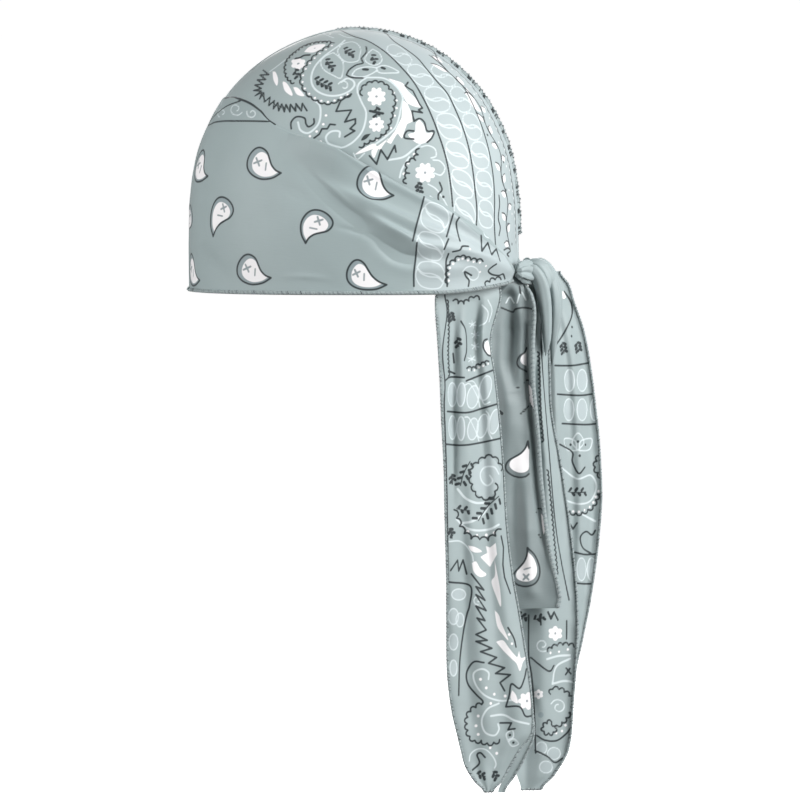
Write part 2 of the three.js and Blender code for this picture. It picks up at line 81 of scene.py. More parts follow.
class Held(Enum):
    STRETCHED = "stretched"
    GATHERED = "gathered"
    HUNG = "hung"


# Numbers and curves


def smooth_column(keys: Sequence[float], values: Sequence[float], at: np.ndarray) -> np.ndarray:
    """Smooth values between rows of a table, with level ends.

    Args:
        keys: The rows' keys, rising.
        values: The value in each row.
        at: Where the value is wanted.

    Returns:
        The value at each place.
    """
    key, value = np.asarray(keys, float), np.asarray(values, float)
    slope = np.zeros_like(value)
    slope[1:-1] = (value[2:] - value[:-2]) / (key[2:] - key[:-2])
    inside = np.clip(at, key[0], key[-1])
    i = np.clip(np.searchsorted(key, inside, side="right") - 1, 0, len(key) - 2)
    span = key[i + 1] - key[i]
    t = (inside - key[i]) / span
    rise = t * t * (3 - 2 * t)
    bend = slope[i] * span * t * (1 - t) ** 2 - slope[i + 1] * span * t * t * (1 - t)
    return value[i] * (1 - rise) + value[i + 1] * rise + bend


def smooth_step(low: float, high: float, at: np.ndarray) -> np.ndarray:
    """0 below low, 1 above high, and a smooth rise between them."""
    t = np.clip((at - low) / (high - low), 0, 1)
    return t * t * (3 - 2 * t)


def unit(vectors: np.ndarray) -> np.ndarray:
    """Vectors brought to length 1 along their last axis."""
    return vectors / np.maximum(np.linalg.norm(vectors, axis=-1, keepdims=True), 1e-9)


def lengths_along(path: np.ndarray) -> np.ndarray:
    """How long a path is up to each of its points."""
    return np.concatenate([[0.0], np.cumsum(np.linalg.norm(np.diff(path, axis=0), axis=1))])


def at_lengths(rows: np.ndarray, lengths: np.ndarray, at: np.ndarray) -> np.ndarray:
    """What is kept at a path's points, at some lengths along the path.

    Args:
        rows: A row of numbers for each point of the path.
        lengths: How long the path is up to each point.
        at: The lengths at which the numbers are wanted.

    Returns:
        A row for each length.
    """
    return np.stack([np.interp(at, lengths, column) for column in rows.T], axis=-1)


def smooth_path(path: np.ndarray, step: float) -> np.ndarray:
    """A smooth curve through the points of a path.

    Args:
        path: The points, one a row.
        step: How far apart the curve's own points are.

    Returns:
        The curve's points.
    """
    if len(path) < 3:
        return even_path(path, step)
    before = np.vstack([2 * path[0] - path[1], path, 2 * path[-1] - path[-2]])
    pieces = []
    for k in range(1, len(before) - 2):
        a, b, c, d = before[k - 1 : k + 3]
        count = max(2, math.ceil(float(np.linalg.norm(c - b)) / step))
        t = np.linspace(0, 1, count, endpoint=False)[:, None]
        pieces.append(
            b
            + t * (c - a) / 2
            + t * t * (2 * a - 5 * b + 4 * c - d) / 2
            + t**3 * (3 * b - 3 * c + d - a) / 2
        )
    return np.vstack([*pieces, path[-1:]])


def even_path(path: np.ndarray, step: float) -> np.ndarray:
    """The same line as a path, with its points no further than a step apart.

    Args:
        path: The points, one a row.
        step: How far apart its points may be.

    Returns:
        The line's points.
    """
    pieces = []
    for a, b in zip(path[:-1], path[1:]):
        count = max(1, math.ceil(float(np.linalg.norm(b - a)) / step))
        pieces.append(a + np.linspace(0, 1, count, endpoint=False)[:, None] * (b - a))
    return np.vstack([*pieces, path[-1:]])


def distance_to_path(points: np.ndarray, path: np.ndarray) -> tuple[np.ndarray, np.ndarray, np.ndarray]:
    """Distance of points from a line of segments.

    Args:
        points: One point a row, in two or three dimensions.
        path: The line's points.

    Returns:
        The distance, the share of the line's length at the nearest place, and the side, above 0 on the left.
    """
    if len(path) == 1:
        away = np.linalg.norm(points - path[0], axis=1)
        return away, np.zeros(len(points)), np.ones(len(points))
    best = np.full(len(points), np.inf)
    share = np.zeros(len(points))
    side = np.ones(len(points))
    lengths = np.linalg.norm(np.diff(path, axis=0), axis=1)
    walked = np.concatenate([[0.0], np.cumsum(lengths)])
    for k, (a, b) in enumerate(zip(path[:-1], path[1:])):
        ahead = b - a
        t = np.clip(((points - a) @ ahead) / max(float(ahead @ ahead), 1e-9), 0, 1)
        off = points - (a + t[:, None] * ahead)
        away = np.einsum("ij,ij->i", off, off)
        nearer = away < best
        best[nearer] = away[nearer]
        share[nearer] = (walked[k] + t[nearer] * lengths[k]) / walked[-1]
        if points.shape[1] == 2:
            side[nearer] = np.where(ahead[0] * off[nearer, 1] - ahead[1] * off[nearer, 0] > 0, -1.0, 1.0)
    return np.sqrt(best), share, side


def inside_polygon(points: np.ndarray, corners: np.ndarray) -> np.ndarray:
    """Whether each point of a plane lies inside a closed outline.

    Args:
        points: The points, one a row.
        corners: The outline's corners, in order.

    Returns:
        True for each point inside.
    """
    within = np.zeros(len(points), bool)
    x, y = points[:, 0], points[:, 1]
    for (ax, ay), (bx, by) in zip(corners, np.roll(corners, -1, axis=0)):
        if ay == by:
            continue
        crossing = (ay > y) != (by > y)
        within ^= crossing & (x < (bx - ax) * (y - ay) / (by - ay) + ax)
    return within


def crinkle(points: np.ndarray, wavelength: float, seed: int) -> np.ndarray:
    """Soft unevenness over space, from -1 to 1, out of a few plane waves in fixed random directions.

    Args:
        points: The places, in millimetres.
        wavelength: The mean wavelength, in millimetres.
        seed: Which pattern.

    Returns:
        The unevenness at each place.
    """
    random = np.random.default_rng(seed)
    total = np.zeros(len(points))
    for _ in range(7):
        direction = random.normal(size=3)
        direction /= np.linalg.norm(direction)
        length = wavelength * random.uniform(0.7, 1.5)
        total += np.sin(points @ direction * (2 * math.pi / length) + random.uniform(0, 2 * math.pi))
    return total / 4.0


# The picture that the folds and the print are charted in


@dataclass(frozen=True)
class PictureView:
    """A level view of the object, and the square picture that it gives.

    Attributes:
        azimuth: Degrees round the object from the forehead; 90 looks at the wearer's left.
        elevation: Degrees above the horizon.
        distance: Millimetres from the camera to the middle of the picture.
        mm_per_px: Scale at the middle of the picture.
        across: The middle of the picture, right of the origin.
        height: The middle of the picture, above the origin.
        side: Pixels along the picture's side.
    """

    azimuth: float = 96.0
    elevation: float = 3.0
    distance: float = 8000.0
    mm_per_px: float = 0.6
    across: float = 27.9
    height: float = -220.8
    side: int = 800

    def axes(self) -> tuple[np.ndarray, np.ndarray, np.ndarray]:
        """The picture's right and up, and the way towards the camera.

        Returns:
            The three unit vectors.
        """
        a, e = math.radians(self.azimuth), math.radians(self.elevation)
        towards = np.array([math.sin(a) * math.cos(e), -math.cos(a) * math.cos(e), math.sin(e)])
        right = np.array([math.cos(a), math.sin(a), 0.0])
        return right, np.cross(towards, right), towards

    def project(self, points: np.ndarray) -> np.ndarray:
        """Picture places of points in millimetres.

        Args:
            points: The points, one a row.

        Returns:
            Their places in pixels from the upper left corner, one a row.
        """
        right, up, towards = self.axes()
        nearer = self.distance / (self.distance - points @ towards)
        x = self.side / 2 + (points @ right - self.across) * nearer / self.mm_per_px
        y = self.side / 2 - (points @ up - self.height) * nearer / self.mm_per_px
        return np.stack([x, y], axis=1)

    def add_camera(self) -> None:
        """Puts the scene's camera where this view is taken from."""
        right, up, towards = self.axes()
        data = bpy.data.cameras.new("picture")
        data.sensor_width = 36.0
        data.lens = data.sensor_width * self.distance / (self.side * self.mm_per_px)
        data.clip_start, data.clip_end = 0.5, 60.0
        data.dof.use_dof = False
        camera = bpy.data.objects.new("picture", data)
        bpy.context.scene.collection.objects.link(camera)
        centre = right * self.across + up * self.height + towards * self.distance
        turn = Matrix([right, up, towards]).transposed()
        camera.matrix_world = Matrix.Translation(Vector(centre * MM)) @ turn.to_4x4()
        bpy.context.scene.camera = camera


PICTURE = PictureView()
FRONT = PictureView(azimuth=0.0, elevation=0.0, across=0.0)
BACK = PictureView(azimuth=180.0, elevation=0.0, across=0.0)


# Finishes


def srgb(code: str) -> tuple[float, float, float, float]:
    """A #RRGGBB colour as linear red, green, blue and alpha.

    Args:
        code: The colour.

    Returns:
        The four values.
    """
    parts = [int(code[i : i + 2], 16) / 255 for i in (1, 3, 5)]
    linear = [c / 12.92 if c <= 0.04045 else ((c + 0.055) / 1.055) ** 2.4 for c in parts]
    return (*linear, 1.0)


def node(
    tree: bpy.types.NodeTree, kind: str, sockets: dict | None = None, **settings: object
) -> bpy.types.Node:
    """Adds one node.

    Args:
        tree: The tree that it goes in.
        kind: The node's type.
        sockets: Its inputs by name or number: a value, or the output that feeds it.
        settings: Its own properties.

    Returns:
        The node.
    """
    made = tree.nodes.new(kind)
    for name, value in settings.items():
        setattr(made, name, value)
    for name, value in (sockets or {}).items():
        if isinstance(value, bpy.types.NodeSocket):
            tree.links.new(value, made.inputs[name])
        else:
            made.inputs[name].default_value = value
    return made


def bare_material(name: str) -> bpy.types.Material:
    """Makes a material whose node tree is still empty.

    Args:
        name: The material's name.

    Returns:
        The material.
    """
    material = bpy.data.materials.new(name)
    material.use_nodes = True
    material.node_tree.nodes.clear()
    return material


@dataclass(frozen=True)
class Satin:
    """Polyester satin, screen printed on its bright side.

    Attributes:
        name: The material's name.
        ground: The dyed ground colour.
        dark: The dark outline ink.
        grey: The small marks inside the drops.
        white: The white ink of flowers and leaves.
        line: The fine pale lines.
        shade: The crescent inside each drop.
        pale: The fill of rings and borders.
        roughness: Of the bare satin.
        sheen: Strength of the soft halo at grazing angles.
        patch: Size of the patches of uneven dye, in millimetres.
        uneven: The darkest and the lightest dye, as shares of the ground colour.
        bleed: How far the ink bleeds over its edge, in millimetres.
        through: Share of the print that shows on the wrong side.
        dulled: How much rougher the ink is than the bare satin.
        slub: Size of the yarn's slubs in x, y and z, in millimetres.
        relief: Height of the yarn, in millimetres.
    """

    name: str
    ground: str = "#98A5A6"
    dark: str = "#262F32"
    grey: str = "#8A9497"
    white: str = "#ECEAEB"
    line: str = "#CBD5D7"
    shade: str = "#869497"
    pale: str = "#A9B5B7"
    roughness: float = 0.57
    sheen: float = 0.25
    patch: float = 20.0
    uneven: tuple[float, float] = (0.955, 1.045)
    bleed: float = 0.28
    through: float = 0.35
    dulled: float = 0.16
    slub: tuple[float, float, float] = (6.0, 6.0, 0.9)
    relief: float = 0.4

    def build(self) -> bpy.types.Material:
        """Makes the material: the ground, the inks over it, and the satin's soft broad gloss.

        Returns:
            The material.
        """
        material = bare_material(self.name)
        tree = material.node_tree
        place = node(tree, "ShaderNodeTexCoord").outputs["Object"]
        # Uneven dye in soft patches, so that broad plain areas are not flat
        per_metre = 1 / (self.patch * MM)
        patches = node(tree, "ShaderNodeTexNoise", {"Vector": place, "Scale": per_metre, "Detail": 2.0})
        dyes = {6 + k: tinted(self.ground, share) for k, share in enumerate(self.uneven)}
        mixed = {0: patches.outputs["Fac"], **dyes}
        colour = node(tree, "ShaderNodeMix", mixed, data_type="RGBA").outputs[2]
        # The wrong side: the print comes through at a third of its strength
        wrong_side = node(tree, "ShaderNodeNewGeometry").outputs["Backfacing"]
        shares = {"Value": wrong_side, "To Min": 1.0, "To Max": self.through}
        shows = node(tree, "ShaderNodeMapRange", shares).outputs["Result"]
        covers = {}
        for ink, code in (
            (Ink.PALE, self.pale),
            (Ink.SHADE, self.shade),
            (Ink.LINE, self.line),
            (Ink.WHITE, self.white),
            (Ink.GREY, self.grey),
            (Ink.DARK, self.dark),
        ):
            distance = node(tree, "ShaderNodeAttribute", attribute_name=ink.value).outputs["Fac"]
            # The edge of the ink bleeds over about half a millimetre
            band = {"Value": distance, "From Min": self.bleed, "From Max": -self.bleed}
            edge = node(tree, "ShaderNodeMapRange", band, interpolation_type="SMOOTHSTEP").outputs["Result"]
            cover = node(tree, "ShaderNodeMath", {0: edge, 1: shows}, operation="MULTIPLY").outputs[0]
            laid = {0: cover, 6: colour, 7: srgb(code)}
            colour = node(tree, "ShaderNodeMix", laid, data_type="RGBA").outputs[2]
            covers[ink] = cover
        # Ink dulls the satin
        both = {0: covers[Ink.WHITE], 1: covers[Ink.DARK]}
        covered = node(tree, "ShaderNodeMath", both, operation="MAXIMUM").outputs[0]
        dull = {"Value": covered, "To Min": self.roughness, "To Max": self.roughness + self.dulled}
        roughness = node(tree, "ShaderNodeMapRange", dull).outputs["Result"]
        # Yarn: fine slubs along the cloth, which break the highlight up
        per_metre = tuple(1 / (size * MM) for size in self.slub)
        slubs = node(tree, "ShaderNodeMapping", {"Vector": place, "Scale": per_metre}).outputs[0]
        yarn = node(tree, "ShaderNodeTexNoise", {"Vector": slubs, "Scale": 1.0, "Detail": 3.0})
        height = {"Height": yarn.outputs["Fac"], "Strength": 0.16, "Distance": self.relief * MM}
        bump = node(tree, "ShaderNodeBump", height).outputs["Normal"]
        shader = node(
            tree,
            "ShaderNodeBsdfPrincipled",
            {
                "Base Color": colour,
                "Roughness": roughness,
                "Sheen Weight": self.sheen,
                "Sheen Roughness": 0.45,
                "Specular IOR Level": 0.5,
                "Normal": bump,
            },
        )
        node(tree, "ShaderNodeOutputMaterial", {"Surface": shader.outputs["BSDF"]})
        return material


def tinted(code: str, share: float) -> tuple[float, float, float, float]:
    """An sRGB colour made lighter or darker by a share, as linear values."""
    red, green, blue, alpha = srgb(code)
    return (red * share, green * share, blue * share, alpha)


@dataclass(frozen=True)
class Thread:
    """Spun overlock thread, light and dark stretches by turns.

    Attributes:
        name: The material's name.
        light: Colour of the light thread.
        dark: Colour where the print's dark ink was caught in the stitch.
        roughness: Of the spun thread.
        sheen: Strength of its fuzz's halo at grazing angles.
    """

    name: str = "spun polyester overlock thread"
    light: str = "#A3AFB0"
    dark: str = "#20282B"
    roughness: float = 0.8
    sheen: float = 0.2

    def build(self) -> bpy.types.Material:
        """Makes the material: matt, so that the stitched edges do not shine as the satin does.

        Returns:
            The material.
        """
        material = bare_material(self.name)
        tree = material.node_tree
        tone = node(tree, "ShaderNodeAttribute", attribute_name="tone").outputs["Fac"]
        tones = {0: tone, 6: srgb(self.light), 7: srgb(self.dark)}
        colour = node(tree, "ShaderNodeMix", tones, data_type="RGBA").outputs[2]
        matt = {"Base Color": colour, "Roughness": self.roughness, "Sheen Weight": self.sheen}
        shader = node(tree, "ShaderNodeBsdfPrincipled", matt)
        node(tree, "ShaderNodeOutputMaterial", {"Surface": shader.outputs["BSDF"]})
        return material


@dataclass(frozen=True)
class Paper:
    """Matt white studio paper for the floor and the backdrop, lit from behind.

    Attributes:
        name: The material's name.
        colour: Its colour.
        glow: Strength of the light that comes through it.
    """

    name: str = "matt white studio paper"
    colour: str = "#F4F4F3"
    glow: float = 0.85

    def build(self) -> bpy.types.Material:
        """Makes the material: no gloss, so that the floor shows only a soft shade.

        Returns:
            The material.
        """
        material = bpy.data.materials.new(self.name)
        material.use_nodes = True
        shader = material.node_tree.nodes["Principled BSDF"]
        shader.inputs["Base Color"].default_value = srgb(self.colour)
        shader.inputs["Roughness"].default_value = 0.95
        shader.inputs["Specular IOR Level"].default_value = 0.1
        shader.inputs["Emission Color"].default_value = (1.0, 1.0, 1.0, 1.0)
        shader.inputs["Emission Strength"].default_value = self.glow
        return material


# Meshes


def polygon_mesh(
    name: str, points: np.ndarray, faces: np.ndarray, attributes: dict[str, np.ndarray] | None = None
) -> bpy.types.Object:
    """Makes a smooth mesh object.

    Args:
        name: The object's name.
        points: Places in millimetres, one a row.
        faces: Numbers of the points round each face, one face a row.
        attributes: Values to keep on the points, by name.

    Returns:
        The object, linked to the scene.
    """
    mesh = bpy.data.meshes.new(name)
    mesh.vertices.add(len(points))
    mesh.vertices.foreach_set("co", (points * MM).astype(np.float32).ravel())
    mesh.loops.add(faces.size)
    mesh.loops.foreach_set("vertex_index", faces.astype(np.int32).ravel())
    mesh.polygons.add(len(faces))
    mesh.polygons.foreach_set("loop_start", np.arange(len(faces), dtype=np.int32) * faces.shape[1])
    mesh.update(calc_edges=True)
    mesh.shade_smooth()
    for key, values in (attributes or {}).items():
        mesh.attributes.new(key, "FLOAT", "POINT").data.foreach_set("value", values.astype(np.float32))
    mesh.validate()
    made = bpy.data.objects.new(name, mesh)
    bpy.context.scene.collection.objects.link(made)
    return made


def grid_faces(rows: int, columns: int, around: bool = False) -> np.ndarray:
    """Faces of a grid of points, row by row.

    Args:
        rows: Rows of points.
        columns: Points in each row.
        around: Whether the last column is joined to the first.

    Returns:
        Numbers of the points round each face.
    """
    index = np.arange(rows * columns).reshape(rows, columns)
    if around:
        index = np.concatenate([index, index[:, :1]], axis=1)
    corners = [index[:-1, :-1], index[:-1, 1:], index[1:, 1:], index[1:, :-1]]
    return np.stack(corners, axis=-1).reshape(-1, 4)


def grid_normals(grid: np.ndarray) -> np.ndarray:
    """Unit normals of a grid of points, from its neighbours.

    Args:
        grid: The points, by row and column.

    Returns:
        The normals, by row and column.
    """
    across = np.gradient(grid, axis=1)
    along = np.gradient(grid, axis=0)
    return unit(np.cross(across, along))


def tube(path: np.ndarray, radius: float, sides: int) -> tuple[np.ndarray, np.ndarray]:
    """A round tube along a path, open at its ends.

    Args:
        path: Its middle line, in millimetres.
        radius: Its radius, in millimetres.
        sides: Sides of its section.

    Returns:
        Its points, and the numbers of the points round each face.
    """
    ahead = unit(np.gradient(path, axis=0))
    leaning = np.array([0.31, 0.17, 0.93])  # a way that no edge of the cloth runs
    wide = unit(np.cross(ahead, leaning))
    high = np.cross(ahead, wide)
    turn = np.linspace(0, 2 * math.pi, sides, endpoint=False)
    around = np.cos(turn)[None, :, None] * wide[:, None] + np.sin(turn)[None, :, None] * high[:, None]
    return (path[:, None] + radius * around).reshape(-1, 3), grid_faces(len(path), sides, around=True)


def add_piece(
    name: str,
    points: np.ndarray,
    faces: np.ndarray,
    attributes: dict[str, np.ndarray],
    material: bpy.types.Material,
    slot: str,
    *nodes: str,
) -> bpy.types.Object:
    """slot: Not used. The record's material slot.
        nodes: The solids that it stands for.

    Returns:
        The object.
    """
    made = polygon_mesh(name, points, faces, attributes)
    made.data.materials.append(material)
    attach(made, "root")
    if nodes:
        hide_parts(*nodes)
    return made


# Folds and printed marks


@dataclass(frozen=True)
class Fold:
    """A ridge or valley, charted as a line in the picture.

    Attributes:
        path: Places in the picture.
        rise: How far the cloth stands out at each of them, in millimetres.
        width: Half its width, in millimetres, on its left.
        right: Half its width on its right, if that differs.
    """

    path: tuple[Place, ...]
    rise: tuple[float, ...]
    width: float
    right: float = 0.0

    def lift(self, places: np.ndarray) -> np.ndarray:
        """How far this fold moves the cloth at each place of the picture.

        Args:
            places: The places, one a row.

        Returns:
            Millimetres that the cloth stands out.
        """
        line = smooth_path(np.array(self.path, float), FOLD_STEP)
        reach = FOLD_REACH * max(self.width, self.right) / PICTURE.mm_per_px
        near = np.flatnonzero(np.all((places > line.min(0) - reach) & (places < line.max(0) + reach), axis=1))
        moved = np.zeros(len(places))
        if len(near):
            away, share, side = distance_to_path(places[near], line)
            width = np.where(side > 0, self.width, self.right or self.width)
            keys = np.linspace(0, 1, len(self.rise))
            height = np.interp(share, keys, self.rise)
            moved[near] = height * np.exp(-((away * PICTURE.mm_per_px / width) ** 2))
        return moved


@dataclass(frozen=True)
class Mark:
    """One printed mark, charted in the picture: a line with a width, or a filled outline.

    Attributes:
        ink: Its ink.
        path: Places in the picture. One place alone is a dot.
        width: The line's width, or the dot's diameter, in millimetres. 0 fills the outline.
        smooth: Whether the line bends smoothly through its places.
        closed: Whether it comes back to its first place.
    """

    ink: Ink
    path: tuple[Place, ...]
    width: float = LINE_INK
    smooth: bool = True
    closed: bool = False

    def line(self) -> np.ndarray:
        """The mark's line as close places in the picture.

        Returns:
            The places, one a row.
        """
        path = np.array(self.path, float)
        if self.closed or not self.width:
            path = np.vstack([path, path[:1]])
        if len(path) == 1:
            return path
        return smooth_path(path, MARK_STEP) if self.smooth else even_path(path, MARK_STEP)


class PrintedCloth:
    """The bright side of a piece of cloth while it is printed.

    Attributes:
        GRAZING: How much the cloth has to face the view for a mark to reach it, as a cosine.
        STEEPEST: The least cosine that a mark is stretched by where the cloth turns away.
        PART: Points of a line that are printed at a time.
        LINE_MARGIN: Millimetres round a line in which its ink is worked out.
        FILL_MARGIN: Pixels round an outline in which its ink is worked out.
    """

    GRAZING = 0.06
    STEEPEST = 0.15
    PART = 14
    LINE_MARGIN = 0.9
    FILL_MARGIN = 1.5

    def __init__(self, points: np.ndarray, normals: np.ndarray, view: PictureView, mirrored: bool) -> None:
        """Charts the cloth in a view.

        Args:
            points: The cloth's points, in millimetres.
            normals: Its normals, towards the printed side.
            view: The view that the marks are charted in.
            mirrored: Whether the chart is laid on the wearer's right.
        """
        flip = np.array([-1.0 if mirrored else 1.0, 1.0, 1.0])
        self.points, self.normals, self.view = points * flip, normals * flip, view
        self.places = view.project(self.points)
        self.seen = np.flatnonzero(self.normals @ view.axes()[2] > self.GRAZING)
        self.ink = {ink: np.full(len(points), FAR) for ink in Ink}
        self.tree = KDTree(len(self.seen))
        for k in self.seen:
            self.tree.insert((self.places[k, 0], self.places[k, 1], 0.0), int(k))
        self.tree.balance()

    def lay(self, line: np.ndarray) -> np.ndarray:
        """Lays places of the picture on the cloth.

        Args:
            line: The places.

        Returns:
            Where each comes to lie, in millimetres.
        """
        right, up, towards = self.view.axes()
        laid = []
        for x, y in line:
            _, k, _ = self.tree.find((x, y, 0.0))
            base, normal = self.points[k], self.normals[k]
            scale = self.view.mm_per_px * (self.view.distance - base @ towards) / self.view.distance
            step = right * (x - self.places[k, 0]) * scale - up * (y - self.places[k, 1]) * scale
            facing = max(float(normal @ towards), self.STEEPEST)
            laid.append(base + step - towards * float(step @ normal) / facing)
        return np.array(laid)

    def draw(self, marks: tuple[Mark, ...]) -> None:
        """Prints marks: keeps, for each ink, how far every point is from its nearest edge.

        Args:
            marks: The marks.
        """
        if not len(self.seen):
            return
        for mark in marks:
            line = mark.line()
            if mark.width:
                self.draw_line(mark, line)
            else:
                self.fill_outline(mark, line)

    def draw_line(self, mark: Mark, line: np.ndarray) -> None:
        """Prints a line at its true width on the cloth.

        Args:
            mark: The line's mark.
            line: Its places in the picture.
        """
        laid = self.lay(line)
        margin = mark.width / 2 + self.LINE_MARGIN
        for first in range(0, max(len(laid) - 1, 1), self.PART):
            part = laid[first : first + self.PART + 1]
            low, high = part.min(0) - margin, part.max(0) + margin
            near = np.flatnonzero(np.all((self.points > low) & (self.points < high), axis=1))
            if len(near):
                away = distance_to_path(self.points[near], part)[0] - mark.width / 2
                self.ink[mark.ink][near] = np.minimum(self.ink[mark.ink][near], away)

    def fill_outline(self, mark: Mark, line: np.ndarray) -> None:
        """Prints the inside of a closed outline.

        Args:
            mark: The outline's mark.
            line: Its places in the picture, back to the first.
        """
        seen = self.places[self.seen]
        low, high = line.min(0) - self.FILL_MARGIN, line.max(0) + self.FILL_MARGIN
        near = self.seen[np.all((seen > low) & (seen < high), axis=1)]
        if len(near):
            places = self.places[near]
            away = distance_to_path(places, line)[0] * self.view.mm_per_px
            signed = np.where(inside_polygon(places, line[:-1]), -away, away)
            self.ink[mark.ink][near] = np.minimum(self.ink[mark.ink][near], signed)


def dots(places: tuple[Place, ...], across: float = 1.7, ink: Ink = Ink.WHITE) -> tuple[Mark, ...]:
    """Round dots of a diameter in millimetres."""
    return tuple(Mark(ink, (place,), across) for place in places)


def dark(*path: Place, width: float = 1.15, smooth: bool = True) -> tuple[Mark, ...]:
    """A dark line."""
    return (Mark(Ink.DARK, path, width, smooth),)


def fine(*path: Place, width: float = 0.85, closed: bool = False) -> tuple[Mark, ...]:
    """A fine pale line, or an outline where it is closed."""
    return (Mark(Ink.LINE, path, width, closed=closed),)


def white(*outline: Place, smooth: bool = True) -> tuple[Mark, ...]:
    """A white filled leaf or petal."""
    return (Mark(Ink.WHITE, outline, 0.0, smooth),)


def pale(*outline: Place, smooth: bool = True) -> tuple[Mark, ...]:
    """A filled patch of the print's pale ground."""
    return (Mark(Ink.PALE, outline, 0.0, smooth),)


def turned(shape: tuple[Place, ...], centre: Place, ahead: Place) -> tuple[Place, ...]:
    """A shape drawn about (0, 0), set at a centre with its x axis along a step."""
    (cx, cy), (ax, ay) = centre, ahead
    return tuple((cx + ax * x - ay * y, cy + ay * x + ax * y) for x, y in shape)


# A drop with its round end about (0, 0), its radius 1, its tip out along x and its hollow side on the left
DROP = (
    (1.5, 0.0), (1.13, -0.02), (0.77, -0.22), (0.48, -0.55), (0.22, -0.84), (-0.11, -0.97), (-0.41, -0.93),
    (-0.63, -0.7), (-0.76, -0.27), (-0.74, 0.17), (-0.57, 0.56), (-0.29, 0.79), (0.08, 0.9), (0.49, 0.89),
    (0.87, 0.72), (1.2, 0.45),
)
DROP_NECK = 0.3  # where along a drop its tip begins to stretch
DROP_HEART = (0.78, 0.17)  # size of its white heart, and how far that is moved towards the tip
DROP_CROSS = (((-0.3, -0.24), (0.08, 0.14)), ((-0.3, 0.14), (0.08, -0.24)))
DROP_DASH = ((0.42, -0.2), (0.56, 0.24))
PETAL_EDGE = (0.72, 0.92, 1.0, 0.92)  # how far a petal's edge reaches, from one petal to the next
CURL_IN = 0.72  # how far a scroll winds in, as a share of its radius
LEAF_LOWER = ((0.12, 0.0), (0.4, 0.26), (0.72, 0.22), (1.0, 0.0))
LEAF_UPPER = ((0.75, -0.22), (0.42, -0.28))
PALE_LEAF = ((0.1, 0.0), (0.45, -0.3), (0.75, -0.22), (1.0, 0.0), (0.75, 0.24), (0.45, 0.3))


def drop(
    centre: Place, tip: Place, radius: float = 15.5, narrow: float = 1.0, cut: float = math.inf, bend: int = 1
) -> tuple[Mark, ...]:
    """A printed drop: a dark outline, a white heart with a small cross and a dash, and a shaded crescent.

    Args:
        centre: The middle of its round end.
        tip: Its tip, as if the cloth faced the picture.
        radius: Of the round end, in pixels.
        narrow: How much narrower it looks where the cloth turns away.
        cut: Where a fold hides the rest of it.
        bend: -1 for a drop whose hollow side is on the right.

    Returns:
        Its marks.
    """
    dx, dy = tip[0] - centre[0], tip[1] - centre[1]
    reach = math.hypot(dx, dy) / radius
    stretch = (reach - DROP_NECK) / (DROP[0][0] - DROP_NECK)
    ahead = (dx / reach, dy / reach)

    def placed(shape: tuple[Place, ...]) -> tuple[Place, ...]:
        """A shape drawn about (0, 0), where it comes to lie in the picture."""
        spots = turned(shape, centre, ahead)
        return tuple((min(centre[0] + (x - centre[0]) * narrow, cut), y) for x, y in spots)

    def outline(scale: float, shift: float) -> tuple[Place, ...]:
        """The drop's outline in the picture.

        Args:
            scale: Its size.
            shift: How far it is moved towards the tip.

        Returns:
            The outline.
        """
        shape = []
        for x, y in DROP:
            along = x if x < DROP_NECK else DROP_NECK + (x - DROP_NECK) * stretch
            shape.append((along * scale + shift, bend * y * scale))
        return placed(tuple(shape))

    edge = outline(1.0, 0.0)
    seen = [k for k, spot in enumerate(edge) if spot[0] < cut]
    if len(seen) < len(edge):  # the line stops at the fold
        first = next(k for k in seen if edge[k - 1][0] >= cut)
        shown = tuple(edge[(first - 1 + k) % len(edge)] for k in range(len(seen) + 2))
    else:
        shown = (*edge, edge[0])
    marks = [
        Mark(Ink.DARK, shown, 1.15),
        Mark(Ink.SHADE, edge, 0.0),
        Mark(Ink.WHITE, outline(*DROP_HEART), 0.0),
    ]
    if cut == math.inf:
        marks += [Mark(Ink.GREY, placed(line), 1.2) for line in DROP_CROSS]
        marks.append(Mark(Ink.GREY, placed(DROP_DASH), 1.0))
    return tuple(marks)


def flower(x: float, y: float, radius: float, petals: int = 8, squeeze: float = 1.0) -> tuple[Mark, ...]:
    """A white flower with a small grey middle.

    Args:
        x: Its middle in the picture, from the left.
        y: Its middle in the picture, from the top.
        radius: Pixels from its middle to the tips.
        petals: How many petals it has.
        squeeze: How much narrower it looks where the cloth turns away.

    Returns:
        Its marks.
    """
    outline = []
    for k in range(petals * 4):
        turn = 2 * math.pi * k / (petals * 4)
        reach = radius * PETAL_EDGE[k % 4]
        outline.append((x + squeeze * reach * math.cos(turn), y + reach * math.sin(turn)))
    return (Mark(Ink.WHITE, tuple(outline), 0.0), Mark(Ink.GREY, ((x, y),), 1.7))


def ring(x: float, y: float, wide: float, high: float, lean: float = 0.0) -> tuple[Mark, ...]:
    """A pale ring with a slightly paler inside.

    Args:
        x: Its middle in the picture, from the left.
        y: Its middle in the picture, from the top.
        wide: Half its width, in pixels.
        high: Half its height, in pixels.
        lean: Its lean, in degrees.

    Returns:
        Its marks.
    """
    outline = []
    a = math.radians(lean)
    for k in range(10):
        turn = 2 * math.pi * k / 10
        u, v = wide * math.cos(turn), high * math.sin(turn)
        outline.append((x + u * math.cos(a) - v * math.sin(a), y + u * math.sin(a) + v * math.cos(a)))
    return (Mark(Ink.LINE, tuple(outline), 0.8, closed=True), Mark(Ink.PALE, tuple(outline), 0.0))


